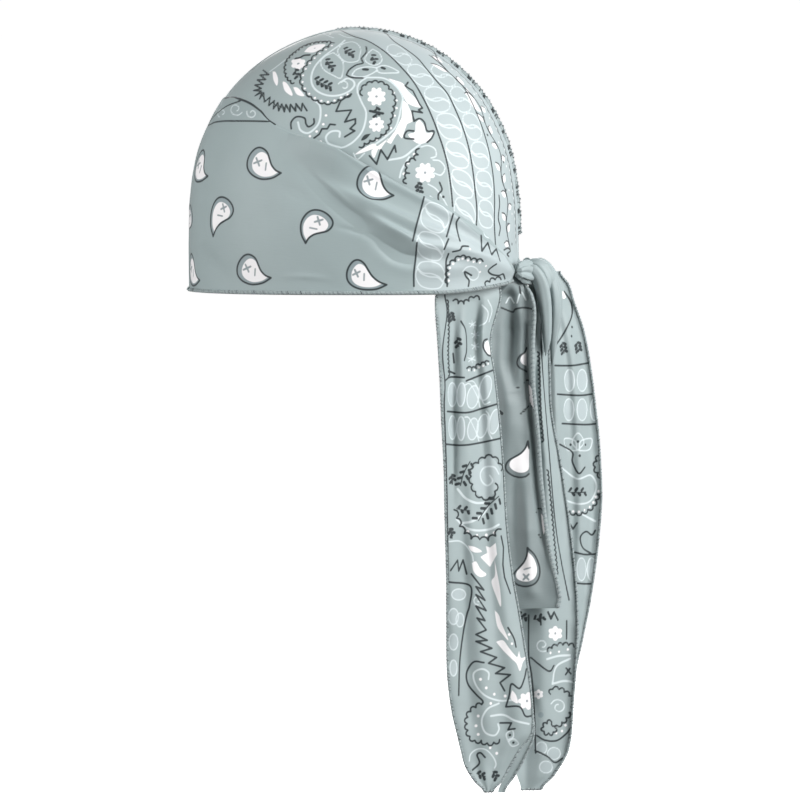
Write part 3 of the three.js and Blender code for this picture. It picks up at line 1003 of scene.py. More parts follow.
def scallops(*path: Place, pitch: float = 6.5, depth: float = 3.0, beads: float = 0.0) -> tuple[Mark, ...]:
    """A dark line of scallops that bulge to the left of a path, with white beads inside them.

    Args:
        path: The line that the scallops' corners lie on.
        pitch: Pixels from one corner to the next.
        depth: Pixels that each bulges.
        beads: Diameter of the beads in millimetres, 0 for none.

    Returns:
        Its marks.
    """
    line = smooth_path(np.array(path, float), 1.0)
    lengths = lengths_along(line)
    count = max(1, round(lengths[-1] / pitch))
    corners = at_lengths(line, lengths, np.linspace(0, lengths[-1], count + 1))
    outline: list[Place] = []
    marks: list[Mark] = []
    for start, end in zip(corners[:-1], corners[1:]):
        ahead = end - start
        left = np.array([ahead[1], -ahead[0]]) / max(float(np.linalg.norm(ahead)), 1e-6)
        for share, out in ((0.0, 0.0), (0.22, 0.8), (0.5, 1.0), (0.78, 0.8)):
            outline.append(tuple(start + share * ahead + left * depth * out))
        if beads:
            marks.append(Mark(Ink.WHITE, (tuple(start + 0.5 * ahead - left * depth * 0.25),), beads))
    outline.append(tuple(line[-1]))
    return (Mark(Ink.DARK, tuple(outline), LINE_INK, smooth=False), *marks)


def teeth(*path: Place, pitch: float = 6.0, depth: float = 9.0, lean: float = 0.3) -> tuple[Mark, ...]:
    """A dark zigzag with its teeth on the left of a path.

    Args:
        path: The line that the teeth stand on.
        pitch: Pixels from tooth to tooth.
        depth: Length of a tooth, in pixels.
        lean: How far a tooth leans back, as a share of the pitch.

    Returns:
        Its marks.
    """
    line = smooth_path(np.array(path, float), 1.0)
    lengths = lengths_along(line)
    count = max(1, round(lengths[-1] / pitch))
    outline: list[Place] = []
    for k in range(count + 1):
        at = lengths[-1] * k / count
        here, beyond = at_lengths(line, lengths, np.array([at, at + 1.0]))
        ahead = unit(beyond - here if k < count else here - line[-2])
        left = np.array([ahead[1], -ahead[0]])
        outline.append(tuple(here))
        if k < count:
            outline.append(tuple(here + ahead * pitch * (0.5 - lean) + left * depth))
    return (Mark(Ink.DARK, tuple(outline), LINE_INK, smooth=False),)


def curl(x: float, y: float, radius: float, start: float, turns: float) -> tuple[Mark, ...]:
    """A pale scroll that winds in to its middle.

    Args:
        x: Its middle in the picture, from the left.
        y: Its middle in the picture, from the top.
        radius: Pixels from its middle to its outer end.
        start: Where its outer end is, in degrees.
        turns: How often it goes round, below 0 the other way.

    Returns:
        Its marks.
    """
    path = []
    steps = max(6, math.ceil(abs(turns) * 10))
    for k in range(steps + 1):
        share = k / steps
        turn = math.radians(start) + 2 * math.pi * turns * share
        reach = radius * (1 - CURL_IN * share)
        path.append((x + reach * math.cos(turn), y + reach * math.sin(turn)))
    return fine(*path)


def sprig(x: float, y: float, length: float, lean: float, pairs: int = 3) -> tuple[Mark, ...]:
    """A dark sprig: a short bowed stem with small thick leaves by turns.

    Args:
        x: Its middle in the picture, from the left.
        y: Its middle in the picture, from the top.
        length: Its length, in pixels.
        lean: The way that it points, in degrees.
        pairs: Pairs of leaves.

    Returns:
        Its marks.
    """
    a = math.radians(lean)
    ahead = (math.cos(a), math.sin(a))
    half = length / 2
    stem = ((-half, 0.0), (0.0, 0.06 * length), (half, 0.0))
    marks = [Mark(Ink.DARK, turned(stem, (x, y), ahead), 0.75)]
    reach = max(2.0, 0.13 * length)
    for k in range(2 * pairs):
        out = reach if k % 2 else -reach
        foot = -half + length * (k + 0.4) / (2 * pairs)
        leaf = ((foot + 0.2 * reach, out * 0.6), (foot + 0.8 * reach, out * 1.4))
        marks.append(Mark(Ink.DARK, turned(leaf, (x, y), ahead), 1.75))
    return tuple(marks)


def vine(*path: Place, pitch: float = 13.0, reach: float = 12.0) -> tuple[Mark, ...]:
    """A dark wavy stem with white leaves by turns, each with a dark lower edge.

    Args:
        path: The stem, from its top.
        pitch: Pixels from leaf to leaf.
        reach: Length of a leaf.

    Returns:
        Its marks.
    """
    line = smooth_path(np.array(path, float), 1.0)
    marks = [Mark(Ink.DARK, path, 1.0)]
    for n, k in enumerate(range(int(pitch / 2), len(line) - 4, int(pitch))):
        ahead = unit(line[k + 3] - line[k - 3])
        side = 1.0 if n % 2 else -1.0
        out = np.array([-ahead[1], ahead[0]]) * side * 0.8 - ahead * 0.6
        foot = (float(line[k][0]), float(line[k][1]))
        for ink, shape, width in ((Ink.WHITE, LEAF_LOWER + LEAF_UPPER, 0.0), (Ink.DARK, LEAF_LOWER, 0.9)):
            leaf = tuple((u * reach, v * reach * side) for u, v in shape)
            marks.append(Mark(ink, turned(leaf, foot, (float(out[0]), float(out[1]))), width))
    return tuple(marks)


def star(x: float, y: float, radius: float = 4.0) -> tuple[Mark, ...]:
    """A pale star of three crossed strokes.

    Args:
        x: Its middle in the picture, from the left.
        y: Its middle in the picture, from the top.
        radius: Half a stroke's length, in pixels.

    Returns:
        Its marks.
    """
    marks = []
    for turn in (0.3, 1.35, 2.4):
        u, v = radius * math.cos(turn), radius * math.sin(turn)
        marks.append(Mark(Ink.LINE, ((x - u, y - v), (x + u, y + v)), 0.7))
    return tuple(marks)


def petals(
    x: float, y: float, radius: float, lean: float, count: int = 3, spread: float = 62.0
) -> tuple[Mark, ...]:
    """Pale leaf outlines that fan out of one foot, with a dark spot in each.

    Args:
        x: The foot in the picture, from the left.
        y: The foot in the picture, from the top.
        radius: Length of a leaf, in pixels.
        lean: The way that the fan points, in degrees.
        count: How many leaves there are.
        spread: Degrees from leaf to leaf.

    Returns:
        Their marks.
    """
    marks: list[Mark] = []
    for k in range(count):
        a = math.radians(lean + spread * (k - (count - 1) / 2))
        ahead = (math.cos(a), math.sin(a))
        shape = tuple((u * radius, v * radius) for u, v in PALE_LEAF)
        marks.append(Mark(Ink.LINE, turned(shape, (x, y), ahead), 0.85, closed=True))
        marks.append(Mark(Ink.DARK, turned(((0.55 * radius, 0.0),), (x, y), ahead), 1.7))
    return tuple(marks)


COMMA_WIDE = 0.44  # half width of a pair of commas, as a share of the stripe's width
COMMA_LONG = 0.47  # its half length, as a share of the pitch
# The upper of two commas that curl round each other, in half widths and half lengths of the pair
COMMA = (
    (-0.9, -0.46), (-0.62, -0.86), (0.0, -1.0), (0.62, -0.88), (0.93, -0.48), (1.0, 0.0), (0.86, 0.36),
    (0.62, 0.06), (0.1, -0.12), (-0.52, -0.12),
)


def stripe_rings(
    left: tuple[Place, ...], right: tuple[Place, ...], pitch: float, first: float
) -> tuple[Mark, ...]:
    """Rings by pairs down a stripe, with a double curve between the two of each pair.

    Args:
        left: One border line of the stripe, from its top.
        right: The other border line, from its top.
        pitch: Pixels from one pair to the next.
        first: Pixels to the first pair.

    Returns:
        Their marks.
    """
    share = np.linspace(0, 1, 400)
    borders = []
    for side in (left, right):
        line = smooth_path(np.array(side, float), 1.0)
        lengths = lengths_along(line)
        borders.append(at_lengths(line, lengths, share * lengths[-1]))
    one, other = borders
    middle = (one + other) / 2
    lengths = lengths_along(middle)
    marks: list[Mark] = []
    at = first
    while at < lengths[-1] - 0.3 * pitch:
        k = int(np.searchsorted(lengths, at))
        ahead = unit(middle[min(k + 4, len(middle) - 1)] - middle[max(k - 4, 0)])
        half_wide, half_long = (other[k] - one[k]) * COMMA_WIDE, ahead * pitch * COMMA_LONG
        for side in (-1, 1):
            spots = [middle[k] + side * (half_wide * u + half_long * v) for u, v in COMMA]
            marks.append(Mark(Ink.LINE, tuple((float(x), float(y)) for x, y in spots), 0.8, closed=True))
        at += pitch
    return tuple(marks)


# The form of the head wrap, from the same sizes as the solids


@dataclass(frozen=True)
class HeadForm:
    """The crown's outer face, and the lines on it.

    Attributes:
        depth: Inside top of the crown above its rim.
        squareness: How much fuller than an ellipse it is in plan.
        elevations: Degrees above the rim at which the next three are given.
        front: Distance of the outer face from the middle of the rim, at the forehead.
        side: The same at the ears.
        back: The same at the nape.
    """

    depth: float = 153.6
    squareness: float = 0.22
    elevations: tuple[float, ...] = (0, 15, 30, 45, 60, 75, 90)
    front: tuple[float, ...] = (97.4, 101.2, 111.8, 126.8, 140.6, 150.0, 154.8)
    side: tuple[float, ...] = (75.8, 79.4, 88.5, 102.6, 123.4, 145.2, 154.8)
    back: tuple[float, ...] = (98.8, 102.2, 112.6, 127.9, 142.0, 151.6, 154.8)

    def radius(self, azimuth: np.ndarray, elevation: np.ndarray) -> np.ndarray:
        """Distance of the outer face from the middle of the rim.

        Args:
            azimuth: Degrees from the forehead.
            elevation: Degrees above the rim.

        Returns:
            The distance each way, in millimetres.
        """
        along, across = np.cos(np.radians(azimuth)), np.sin(np.radians(azimuth))
        front, back, side = (
            smooth_column(self.elevations, radii, elevation) for radii in (self.front, self.back, self.side)
        )
        power = 2 + self.squareness * np.cos(np.radians(elevation))
        long = np.where(along > 0, front, back)
        return (np.abs(along / long) ** power + np.abs(across / side) ** power) ** (-1 / power)

    def point(self, azimuth: np.ndarray, elevation: np.ndarray, lift: np.ndarray | float) -> np.ndarray:
        """Places over the crown, lifted off its outer face.

        Args:
            azimuth: Degrees from the forehead, below 0 on the wearer's right.
            elevation: Degrees above the rim.
            lift: How far each is lifted, in millimetres.

        Returns:
            The places, in millimetres.
        """
        reach = self.radius(azimuth, elevation) + lift
        a, e = np.radians(azimuth), np.radians(elevation)
        level = reach * np.cos(e)
        return np.stack([level * np.sin(a), -level * np.cos(a), reach * np.sin(e) - self.depth], axis=-1)

    def elevation_at(self, azimuth: np.ndarray, height: np.ndarray) -> np.ndarray:
        """Elevation at which the outer face is at a height above the rim.

        Args:
            azimuth: Degrees from the forehead.
            height: Height above the rim, in millimetres.

        Returns:
            Degrees above the rim.
        """
        low = np.zeros(np.broadcast(azimuth, height).shape)
        high = np.full(low.shape, 90.0)
        for _ in range(22):
            middle = (low + high) / 2
            below = self.radius(azimuth, middle) * np.sin(np.radians(middle)) < height
            low, high = np.where(below, middle, low), np.where(below, high, middle)
        return low

    def wall(self, azimuth: np.ndarray, height: np.ndarray, lift: np.ndarray | float) -> np.ndarray:
        """Places at a height above the rim line, straight down below the rim.

        Args:
            azimuth: Degrees from the forehead, below 0 on the wearer's right.
            height: Height above the rim, in millimetres.
            lift: How far each is lifted off the outer face, in millimetres.

        Returns:
            The places, in millimetres.
        """
        place = self.point(azimuth, self.elevation_at(azimuth, np.maximum(height, 0)), lift)
        place[..., 2] += np.minimum(height, 0)
        return place


@dataclass(frozen=True)
class BandLines:
    """The band's edges round the head, as heights above the rim line.

    Attributes:
        azimuth: Degrees from the forehead at which the next two are given.
        top: Height of the upper edge.
        hem: Height of the hem.
    """

    azimuth: tuple[float, ...] = (0, 20, 35, 44, 52, 63, 78, 96, 109, 119, 127, 133, 139, 149, 161, 167)
    top: tuple[float, ...] = (
        115.0, 115.3, 115.0, 109.5, 102.4, 96.6, 90.5, 80.6, 71.1, 63.3, 58.4, 54.5, 47.7, 38.2, 22.0, 15.5,
    )
    hem: tuple[float, ...] = (0.1, 0.3, 0.5, 0.6, 0.7, 0.8, 0.9, 1.0, 1.0, 1.0, 1.0, 1.1, 1.6, 3.0, 5.1, 6.2)

    def upper(self, azimuth: np.ndarray) -> np.ndarray:
        """Height of the band's upper edge."""
        return smooth_column(self.azimuth, self.top, np.abs(azimuth))

    def lower(self, azimuth: np.ndarray) -> np.ndarray:
        """Height of the band's hem."""
        return smooth_column(self.azimuth, self.hem, np.abs(azimuth))


HEAD = HeadForm()
BAND = BandLines()


# Cloth


@dataclass
class ClothPiece:
    """One sheet of satin, laid out as a grid and printed.

    Attributes:
        name: The name of the solid that it stands for.
        slot: The name of the satin that it is cut from.
        flat: Width and length of the cut, in metres.
        area: The cut's area, in square metres.
        held: How it is held.
        rests_on: What it rests on or hangs from.
        charts: Its print: the view, whether it is laid on the wearer's right, and the marks.
    """

    name: str
    slot: str
    flat: tuple[float, float]
    area: float
    held: Held
    rests_on: tuple[str, ...]
    charts: tuple[tuple[PictureView, bool, tuple[Mark, ...]], ...] = ()

    def grid(self) -> np.ndarray:
        """Places of the cloth, a row of the grid at a time, in millimetres."""
        raise NotImplementedError

    def outward(self, grid: np.ndarray) -> np.ndarray:
        """The way that the printed side faces, at each place of the grid."""
        return np.broadcast_to(np.array([1.0, 0.0, 0.0]), grid.shape)

    def build(self, material: bpy.types.Material) -> bpy.types.Object:
        """Lays out, prints and adds the piece.

        Args:
            material: Its finish.

        Returns:
            The object.
        """
        grid = self.grid()
        normals = grid_normals(grid)
        facing = np.einsum("ijk,ijk->ij", normals, self.outward(grid))
        faces = grid_faces(*grid.shape[:2])
        if np.mean(facing) < 0:
            normals, faces = -normals, faces[:, ::-1]
        points, normals = grid.reshape(-1, 3), normals.reshape(-1, 3)
        ink = {kind: np.full(len(points), FAR) for kind in Ink}
        for view, mirrored, marks in self.charts:
            side = PrintedCloth(points, normals, view, mirrored)
            side.draw(marks)
            for kind in Ink:
                ink[kind] = np.minimum(ink[kind], side.ink[kind])
        inks = {kind.value: values for kind, values in ink.items()}
        made = add_piece(f"{self.name}_cloth", points, faces, inks, material, self.slot, self.name)
        LOG.info("%s: %d faces, %.5f m2", self.name, len(faces), sum(p.area for p in made.data.polygons))
        return made

    def declare(self, made: bpy.types.Object, trims: list[bpy.types.Object]) -> None:
        """Args:
            made: The sheet's object. Not used.
            trims: The objects sewn on it. Not used.
        """


@dataclass
class CrownHalf(ClothPiece):
    """One half of the crown, from the centre seam down to its edge behind the band.

    Attributes:
        side: 1 for the wearer's left, -1 for the right.
        columns: Cells along the seam.
        rows: Cells from the seam to where the band covers it.
        hidden_rows: Cells from there to the edge.
        dents: Soft folds in the crown.
        ends: Degrees over the head at which its first and last section lie.
        tucked: How far its fine cells go on under the band, in millimetres.
        edge_front: Height of its edge above the rim, in millimetres.
        edge_back: The same behind the ear.
        least: Degrees that the rows and the hidden rows each span at least.
        seam_rise: How far the cloth rises into the seam, in millimetres.
        seam_reach: How far from the seam it begins to, in millimetres.
        limits: How far the cloth may lie inside and outside its smooth form, in millimetres.
    """

    side: int = 1
    columns: int = 430
    rows: int = 200
    hidden_rows: int = 12
    dents: tuple[Fold, ...] = ()
    ends: tuple[float, float] = (8.0, 178.5)
    tucked: float = 6.0
    edge_front: float = 4.0
    edge_back: float = 12.0
    least: float = 0.6
    seam_rise: float = 0.9
    seam_reach: float = 2.6
    limits: tuple[float, float] = (-1.4, 3.0)

    @staticmethod
    def ways_out(theta: np.ndarray, phi: np.ndarray) -> tuple[np.ndarray, np.ndarray, np.ndarray]:
        """Ways out from the middle of the rim.

        Args:
            theta: Turn over the head from the forehead, in radians.
            phi: Turn down from the middle plane to the wearer's left, in radians.

        Returns:
            The ways, and their azimuth and elevation in degrees.
        """
        way = np.stack([np.sin(phi), -np.cos(phi) * np.cos(theta), np.cos(phi) * np.sin(theta)], axis=-1)
        azimuth = np.degrees(np.arctan2(way[..., 0], -way[..., 1]))
        return way, azimuth, np.degrees(np.arcsin(np.clip(way[..., 2], -1, 1)))

    def grid(self) -> np.ndarray:
        """Sections through the left to right axis, from the middle plane down to the crown's edge.

        Returns:
            The places, by row and column.
        """
        around = np.linspace(*self.ends, self.columns + 1)
        fine_steps = np.linspace(0, 89.5, 360)
        _, azimuth, elevation = self.ways_out(*np.meshgrid(np.radians(around), np.radians(fine_steps)))
        height = HEAD.radius(azimuth, elevation) * np.sin(np.radians(elevation))
        covered = height < BAND.upper(azimuth) - self.tucked
        past_edge = height < np.where(azimuth > 100, self.edge_back, self.edge_front)
        shown_to, edge_at = (
            fine_steps[np.where(under.any(0), under.argmax(0), -1)] for under in (covered, past_edge)
        )
        shown_to = np.maximum(shown_to, self.least)
        edge_at = np.maximum(edge_at, shown_to + self.least)
        shown = np.linspace(0, 1, self.rows + 1)[:, None] * shown_to
        hidden = shown_to + np.linspace(0, 1, self.hidden_rows + 1)[1:, None] * (edge_at - shown_to)
        down = np.concatenate([shown, hidden])
        theta = np.radians(np.broadcast_to(around, down.shape))
        way, azimuth, elevation = self.ways_out(theta, np.radians(down))
        base = HEAD.point(azimuth, elevation, 0.0)
        flat = base.reshape(-1, 3)
        lift = 0.25 * crinkle(flat, 42.0, 3) + 0.05 * crinkle(flat, 11.0, 4)
        places = PICTURE.project(flat)
        for dent in self.dents:
            lift = lift + dent.lift(places)
        # The cloth rises into the seam over its last three millimetres, from the top of the head on
        full = smooth_step(70, 100, theta.ravel() * 57.3)
        lift = lift + self.seam_rise * np.exp(-((np.abs(flat[:, 0]) / self.seam_reach) ** 2)) * full
        grid = (flat + way.reshape(-1, 3) * np.clip(lift, *self.limits)[:, None]).reshape(base.shape)
        grid[..., 0] = np.maximum(grid[..., 0], 0.25)
        grid[..., 0] *= self.side
        return grid

    def outward(self, grid: np.ndarray) -> np.ndarray:
        """Away from the middle of the rim."""
        return grid - np.array([0.0, 0.0, -HEAD.depth])


@dataclass
class ForeheadBand(ClothPiece):
    """The plain satin band round the forehead, its folds gathered towards the knot.

    Attributes:
        near_columns: Cells round the wearer's left.
        far_columns: Cells round the right.
        rows: Cells from the hem to the upper edge.
        lift: Middle of the cloth outside the crown's outer face.
        reach: Azimuth at which it goes into the knot.
        folds: Its folds.
        turned_in: How far its upper edge is turned in towards the crown, in millimetres.
        rounding: Over how much of its height, in millimetres.
    """

    near_columns: int = 410
    far_columns: int = 230
    rows: int = 150
    lift: float = 1.5
    reach: float = 167.0
    folds: tuple[Fold, ...] = ()
    turned_in: float = 1.5
    rounding: float = 1.3

    def grid(self) -> np.ndarray:
        """Level lines from the right end round the forehead to the left end.

        Returns:
            The places, by row and column.
        """
        far_side = np.linspace(-self.reach, 0, self.far_columns, endpoint=False)
        azimuth = np.concatenate([far_side, np.linspace(0, self.reach, self.near_columns + 1)])
        share = np.linspace(0, 1, self.rows + 1)[:, None]
        low, high = BAND.lower(azimuth), BAND.upper(azimuth)
        height = low + share * (high - low)
        around = np.broadcast_to(azimuth, height.shape)
        base = HEAD.wall(around, height, self.lift)
        out = HEAD.wall(around, height, self.lift + 1.0) - base
        flat, out = base.reshape(-1, 3), out.reshape(-1, 3)
        mirrored = flat * np.where(flat[:, :1] < 0, np.array([-1.0, 1.0, 1.0]), 1.0)
        places = PICTURE.project(mirrored)
        lift = 0.35 * crinkle(flat, 60.0, 11) + 0.07 * crinkle(flat, 14.0, 12)
        for fold in self.folds:
            lift = lift + fold.lift(places)
        # The upper edge is turned in, and lies against the crown
        edge = np.exp(-(((high - height).ravel() / self.rounding) ** 2))
        lift = np.maximum(lift - self.turned_in * edge, -0.9 - 0.5 * edge)
        return (flat + out * lift[:, None]).reshape(base.shape)

    def outward(self, grid: np.ndarray) -> np.ndarray:
        """Away from the middle of the rim."""
        return grid - np.array([0.0, 0.0, -HEAD.depth])


@dataclass(frozen=True)
class EdgeRow:
    """Edges and sideways place of a hanging sheet at one height, in millimetres.

    Attributes:
        z: The height.
        front: Where its front edge is, along y.
        back: Where its back edge is, along y.
        front_depth: Where its front edge is, along x.
        back_depth: Where its back edge is, along x.
        fold: How far its soft folds swing.
        turn: How far the part that turns forward goes in, along x.
    """

    z: float
    front: float
    back: float
    front_depth: float
    back_depth: float
    fold: float
    turn: float = 0.0


@dataclass
class HangingSheet(ClothPiece):
    """A hanging piece between its front and back edges.

    Attributes:
        rows_table: Its edges by height, from the top.
        columns: Cells across.
        rows: Cells down.
        waves: Soft folds across it.
        phase: Where the first one starts.
        drift: How far they drift down its length.
        hidden: Share of its width that turns forward out of sight.
        bow: How far that share bows forward, in millimetres.
        folds: Its sharper folds.
        damp: Share of the soft folds that is kept.
        hems: Its edges that have overlock stitches.
        hem_roll: Radius of their rolled edge, in millimetres.
    """

    rows_table: tuple[EdgeRow, ...] = ()
    columns: int = 90
    rows: int = 500
    waves: float = 2.0
    phase: float = 0.0
    drift: float = 0.0
    hidden: float = 0.0
    bow: float = 12.0
    folds: tuple[Fold, ...] = ()
    damp: float = 1.0
    hems: tuple[str, ...] = ("back", "bottom")
    hem_roll: float = 0.7

    def column(self, name: str, z: np.ndarray) -> np.ndarray:
        """A column of the edges' table at some heights."""
        table = self.rows_table[::-1]
        return smooth_column([row.z for row in table], [getattr(row, name) for row in table], z)

    def grid(self) -> np.ndarray:
        """Level lines from the front edge to the back edge, from the top down.

        Returns:
            The places, by row and column.
        """
        u, v = np.meshgrid(np.linspace(0, 1, self.columns + 1), np.linspace(0, 1, self.rows + 1))
        top, bottom = self.rows_table[0].z, self.rows_table[-1].z
        z = top + (bottom - top) * v
        shown = np.maximum(0, u - self.hidden) / (1 - self.hidden)
        wave = self.waves * shown + self.phase + self.drift * v
        ripple = self.damp * self.column("fold", z) * np.sin(2 * np.pi * wave)
        front, back = self.column("front", z), self.column("back", z)
        near, far = self.column("front_depth", z), self.column("back_depth", z)
        x = near + (far - near) * shown + ripple
        y = front + (back - front) * shown
        if self.hidden:
            round_ = np.pi * (1 - np.minimum(u / self.hidden, 1))
            x = x - self.column("turn", z) * (1 - np.cos(round_)) / 2
            y = y - self.bow * np.sin(round_)
        grid = np.stack([x, y, z], axis=-1)
        flat = grid.reshape(-1, 3)
        places = PICTURE.project(flat)
        seen = (u >= self.hidden).ravel()
        lift = 0.45 * crinkle(flat, 38.0, 21) + 0.12 * crinkle(flat, 12.0, 22)
        for fold in self.folds:
            lift = lift + np.where(seen, fold.lift(places), 0.0)
        flat[:, 0] += lift
        return flat.reshape(grid.shape)


@dataclass
class Overlock:
    """Overlock stitches over an edge: loops that bite into the cloth, and a rolled edge under them.

    Attributes:
        name: The trim's name.
        edge: Places along the edge, in millimetres.
        inward: The way from the edge into the cloth, at each of them.
        normal: The cloth's normal, at each of them.
        slot: The record's material slot.
        nodes: The solids that it stands for.
        pitch: Millimetres from one stitch to the next.
        bite: How far each reaches into the cloth.
        roll: Radius of the rolled edge.
        thread: Radius of the thread.
        dark_share: Share of stitches that look dark.
        seed: Which stitches those are.
    """

    name: str
    edge: np.ndarray
    # slot: The name of its material.
    inward: np.ndarray
    normal: np.ndarray
    slot: str = "overlock_thread"
    nodes: tuple[str, ...] = ()
    pitch: float = 2.0
    bite: float = 1.5
    roll: float = 0.85
    thread: float = 0.22
    dark_share: float = 0.3
    seed: int = 1

    def build(self, material: bpy.types.Material) -> bpy.types.Object:
        """Adds the stitches and the rolled edge as one trim.

        Args:
            material: The thread's finish.

        Returns:
            The object.
        """
        random = np.random.default_rng(self.seed)
        lengths = lengths_along(self.edge)
        count = max(3, round(lengths[-1] / self.pitch))
        at = (np.arange(count) + 0.5) * lengths[-1] / count
        kept = (self.edge, self.inward, self.normal)
        place, inward, normal = (at_lengths(rows, lengths, at) for rows in kept)
        ahead = unit(np.gradient(place, axis=0))
        middle = at_lengths(self.edge, lengths, np.linspace(0, lengths[-1], 2 * count))
        rolled, rolled_faces = tube(middle, self.roll, 6)
        points, faces, offset = [rolled], [rolled_faces], len(rolled)
        tone = [0.25 + 0.2 * np.sin(np.arange(len(rolled)) * 0.37)]
        high = self.roll + self.thread * 0.6
        bite = self.pitch * 1.05
        # Each loop: how deep in the cloth, how far along the edge and how far off the cloth
        shape = (
            (self.bite, 0.0, 0.25),
            (self.bite * 0.45, 0.15, 0.75),
            (0.0, 0.3, 1.0),
            (-0.8, 0.45, 0.2),
            (-0.3, 0.6, -0.9),
            (self.bite * 0.55, 0.8, -0.7),
        )
        for k in range(count):
            path = [
                place[k] + inward[k] * deep + ahead[k] * bite * (slide - 0.4) + normal[k] * high * rise
                for deep, slide, rise in shape
            ]
            loop, loop_faces = tube(np.array(path), self.thread * random.uniform(0.85, 1.2), 4)
            points.append(loop)
            faces.append(loop_faces + offset)
            dark_one = random.uniform() < self.dark_share
            tone.append(np.full(len(loop), random.uniform(0.6, 1.0) if dark_one else random.uniform(0, 0.3)))
            offset += len(loop)
        tones = {"tone": np.concatenate(tone)}
        return add_piece(
            self.name, np.vstack(points), np.vstack(faces), tones, material, self.slot, *self.nodes
        )


def edge_of(grid: np.ndarray, normals: np.ndarray, side: str) -> tuple[np.ndarray, np.ndarray, np.ndarray]:
    """One edge of a grid of cloth.

    Args:
        grid: The places, by row and column.
        normals: The normals, by row and column.
        side: Which edge: front, back, bottom or first, which is the first row.

    Returns:
        Its places, the way into the cloth at each, and its normals.
    """
    picks = {
        "front": (grid[:, 0], grid[:, 2], normals[:, 0]),
        "back": (grid[:, -1], grid[:, -3], normals[:, -1]),
        "bottom": (grid[-1], grid[-3], normals[-1]),
        "first": (grid[0], grid[2], normals[0]),
    }
    edge, inner, normal = picks[side]
    return edge, unit(inner - edge), normal


def unpack(made: bpy.types.Object, rows: int, columns: int) -> tuple[np.ndarray, np.ndarray]:
    """Reads a grid of cloth back from its mesh.

    Args:
        made: The cloth's object.
        rows: Rows of points.
        columns: Points in each row.

    Returns:
        Places in millimetres and normals, both by row and column.
    """
    flat = np.empty(len(made.data.vertices) * 3, np.float32)
    made.data.vertices.foreach_get("co", flat)
    grid = flat.reshape(rows, columns, 3).astype(float) / MM
    return grid, grid_normals(grid)


# The knot


@dataclass(frozen=True)
class Strand:
    """One gathered strand of cloth in the knot.

    Attributes:
        path: Places along it, in millimetres.
        across: Half its width at each place.
        along: Half its thickness at each place.
        pleats: Folds round its section.
        depth: Depth of the folds, as a share of its half width.
    """

    path: tuple[tuple[float, float, float], ...]
    across: tuple[float, ...]
    along: tuple[float, ...]
    pleats: int = 7
    depth: float = 0.16

    def surface(self, stations: int, sides: int, seed: int) -> tuple[np.ndarray, np.ndarray]:
        """The pleated strand.

        Args:
            stations: Places along it.
            sides: Sides of its section.
            seed: Which pleats it has.

        Returns:
            Its points, and the numbers of the points round each face.
        """
        keys = np.linspace(0, 1, len(self.path))
        line = smooth_path(np.array(self.path, float), 0.4)
        lengths = lengths_along(line)
        t = np.linspace(0, 1, stations)
        middle = at_lengths(line, lengths, t * lengths[-1])
        ahead = unit(np.gradient(middle, axis=0))
        level = abs(ahead[stations // 2, 0]) > 0.7
        sideways = np.array([0.0, 0.0, 1.0]) if level else np.array([1.0, 0.0, 0.0])
        wide = unit(sideways - (ahead @ sideways)[:, None] * ahead)
        thick = np.cross(ahead, wide)
        turn = np.linspace(0, 2 * math.pi, sides, endpoint=False)
        random = np.random.default_rng(seed)
        phase = random.uniform(0, 6.28, 3)
        pleat = 1 + self.depth * (
            0.8 * np.sin(self.pleats * turn[None] + phase[0] + 2.2 * t[:, None])
            + 0.2 * np.sin((self.pleats * 2 + 1) * turn[None] + phase[1] - 1.4 * t[:, None])
        )
        pleat = pleat - 0.25 * self.depth * np.abs(np.sin(1.5 * turn[None] + phase[2]))
        close = np.minimum(1, np.sqrt(np.maximum(0.02, np.minimum(t, 1 - t) * 14)))[:, None]
        half_wide = smooth_column(keys, self.across, t)[:, None] * pleat * close
        half_thick = smooth_column(keys, self.along, t)[:, None] * pleat * close
        section = (
            (half_wide * np.cos(turn))[..., None] * wide[:, None]
            + (half_thick * np.sin(turn))[..., None] * thick[:, None]
        )
        return (middle[:, None] + section).reshape(-1, 3), grid_faces(stations, sides, around=True)


@dataclass
class Knot:
    """The knot behind the head: two strap ends, a wrap over them and two strands that hang out of it.

    Attributes:
        strands: Its strands.
        stations: Places along each.
        sides: Sides of each strand's section.
        seed: Which pleats the first strand has; the others count on from it.
    """

    strands: tuple[Strand, ...]
    stations: int = 110
    sides: int = 96
    seed: int = 40

    def build(self, material: bpy.types.Material) -> None:
        """Adds the strands as one piece.

        Args:
            material: Its finish.
        """
        points, faces, offset = [], [], 0
        for k, strand in enumerate(self.strands):
            place, face = strand.surface(self.stations, self.sides, self.seed + k)
            points.append(place)
            faces.append(face + offset)
            offset += len(place)
        ink = {kind.value: np.full(offset, FAR) for kind in Ink}
        add_piece("knot_cloth", np.vstack(points), np.vstack(faces), ink, material, "printed_satin", "knot")


# Charts: places in the picture of the wearer's left

CROWN_DENTS = (
    Fold(((365, 112), (371, 122), (378, 131)), (0.0, -1.2, 0.0), 7.0),
    Fold(((398, 158), (412, 148), (428, 142)), (0.0, -1.0, 0.0), 7.0),
    Fold(((287, 108), (300, 120), (306, 134)), (0.0, -0.7, 0.0), 9.0),
)

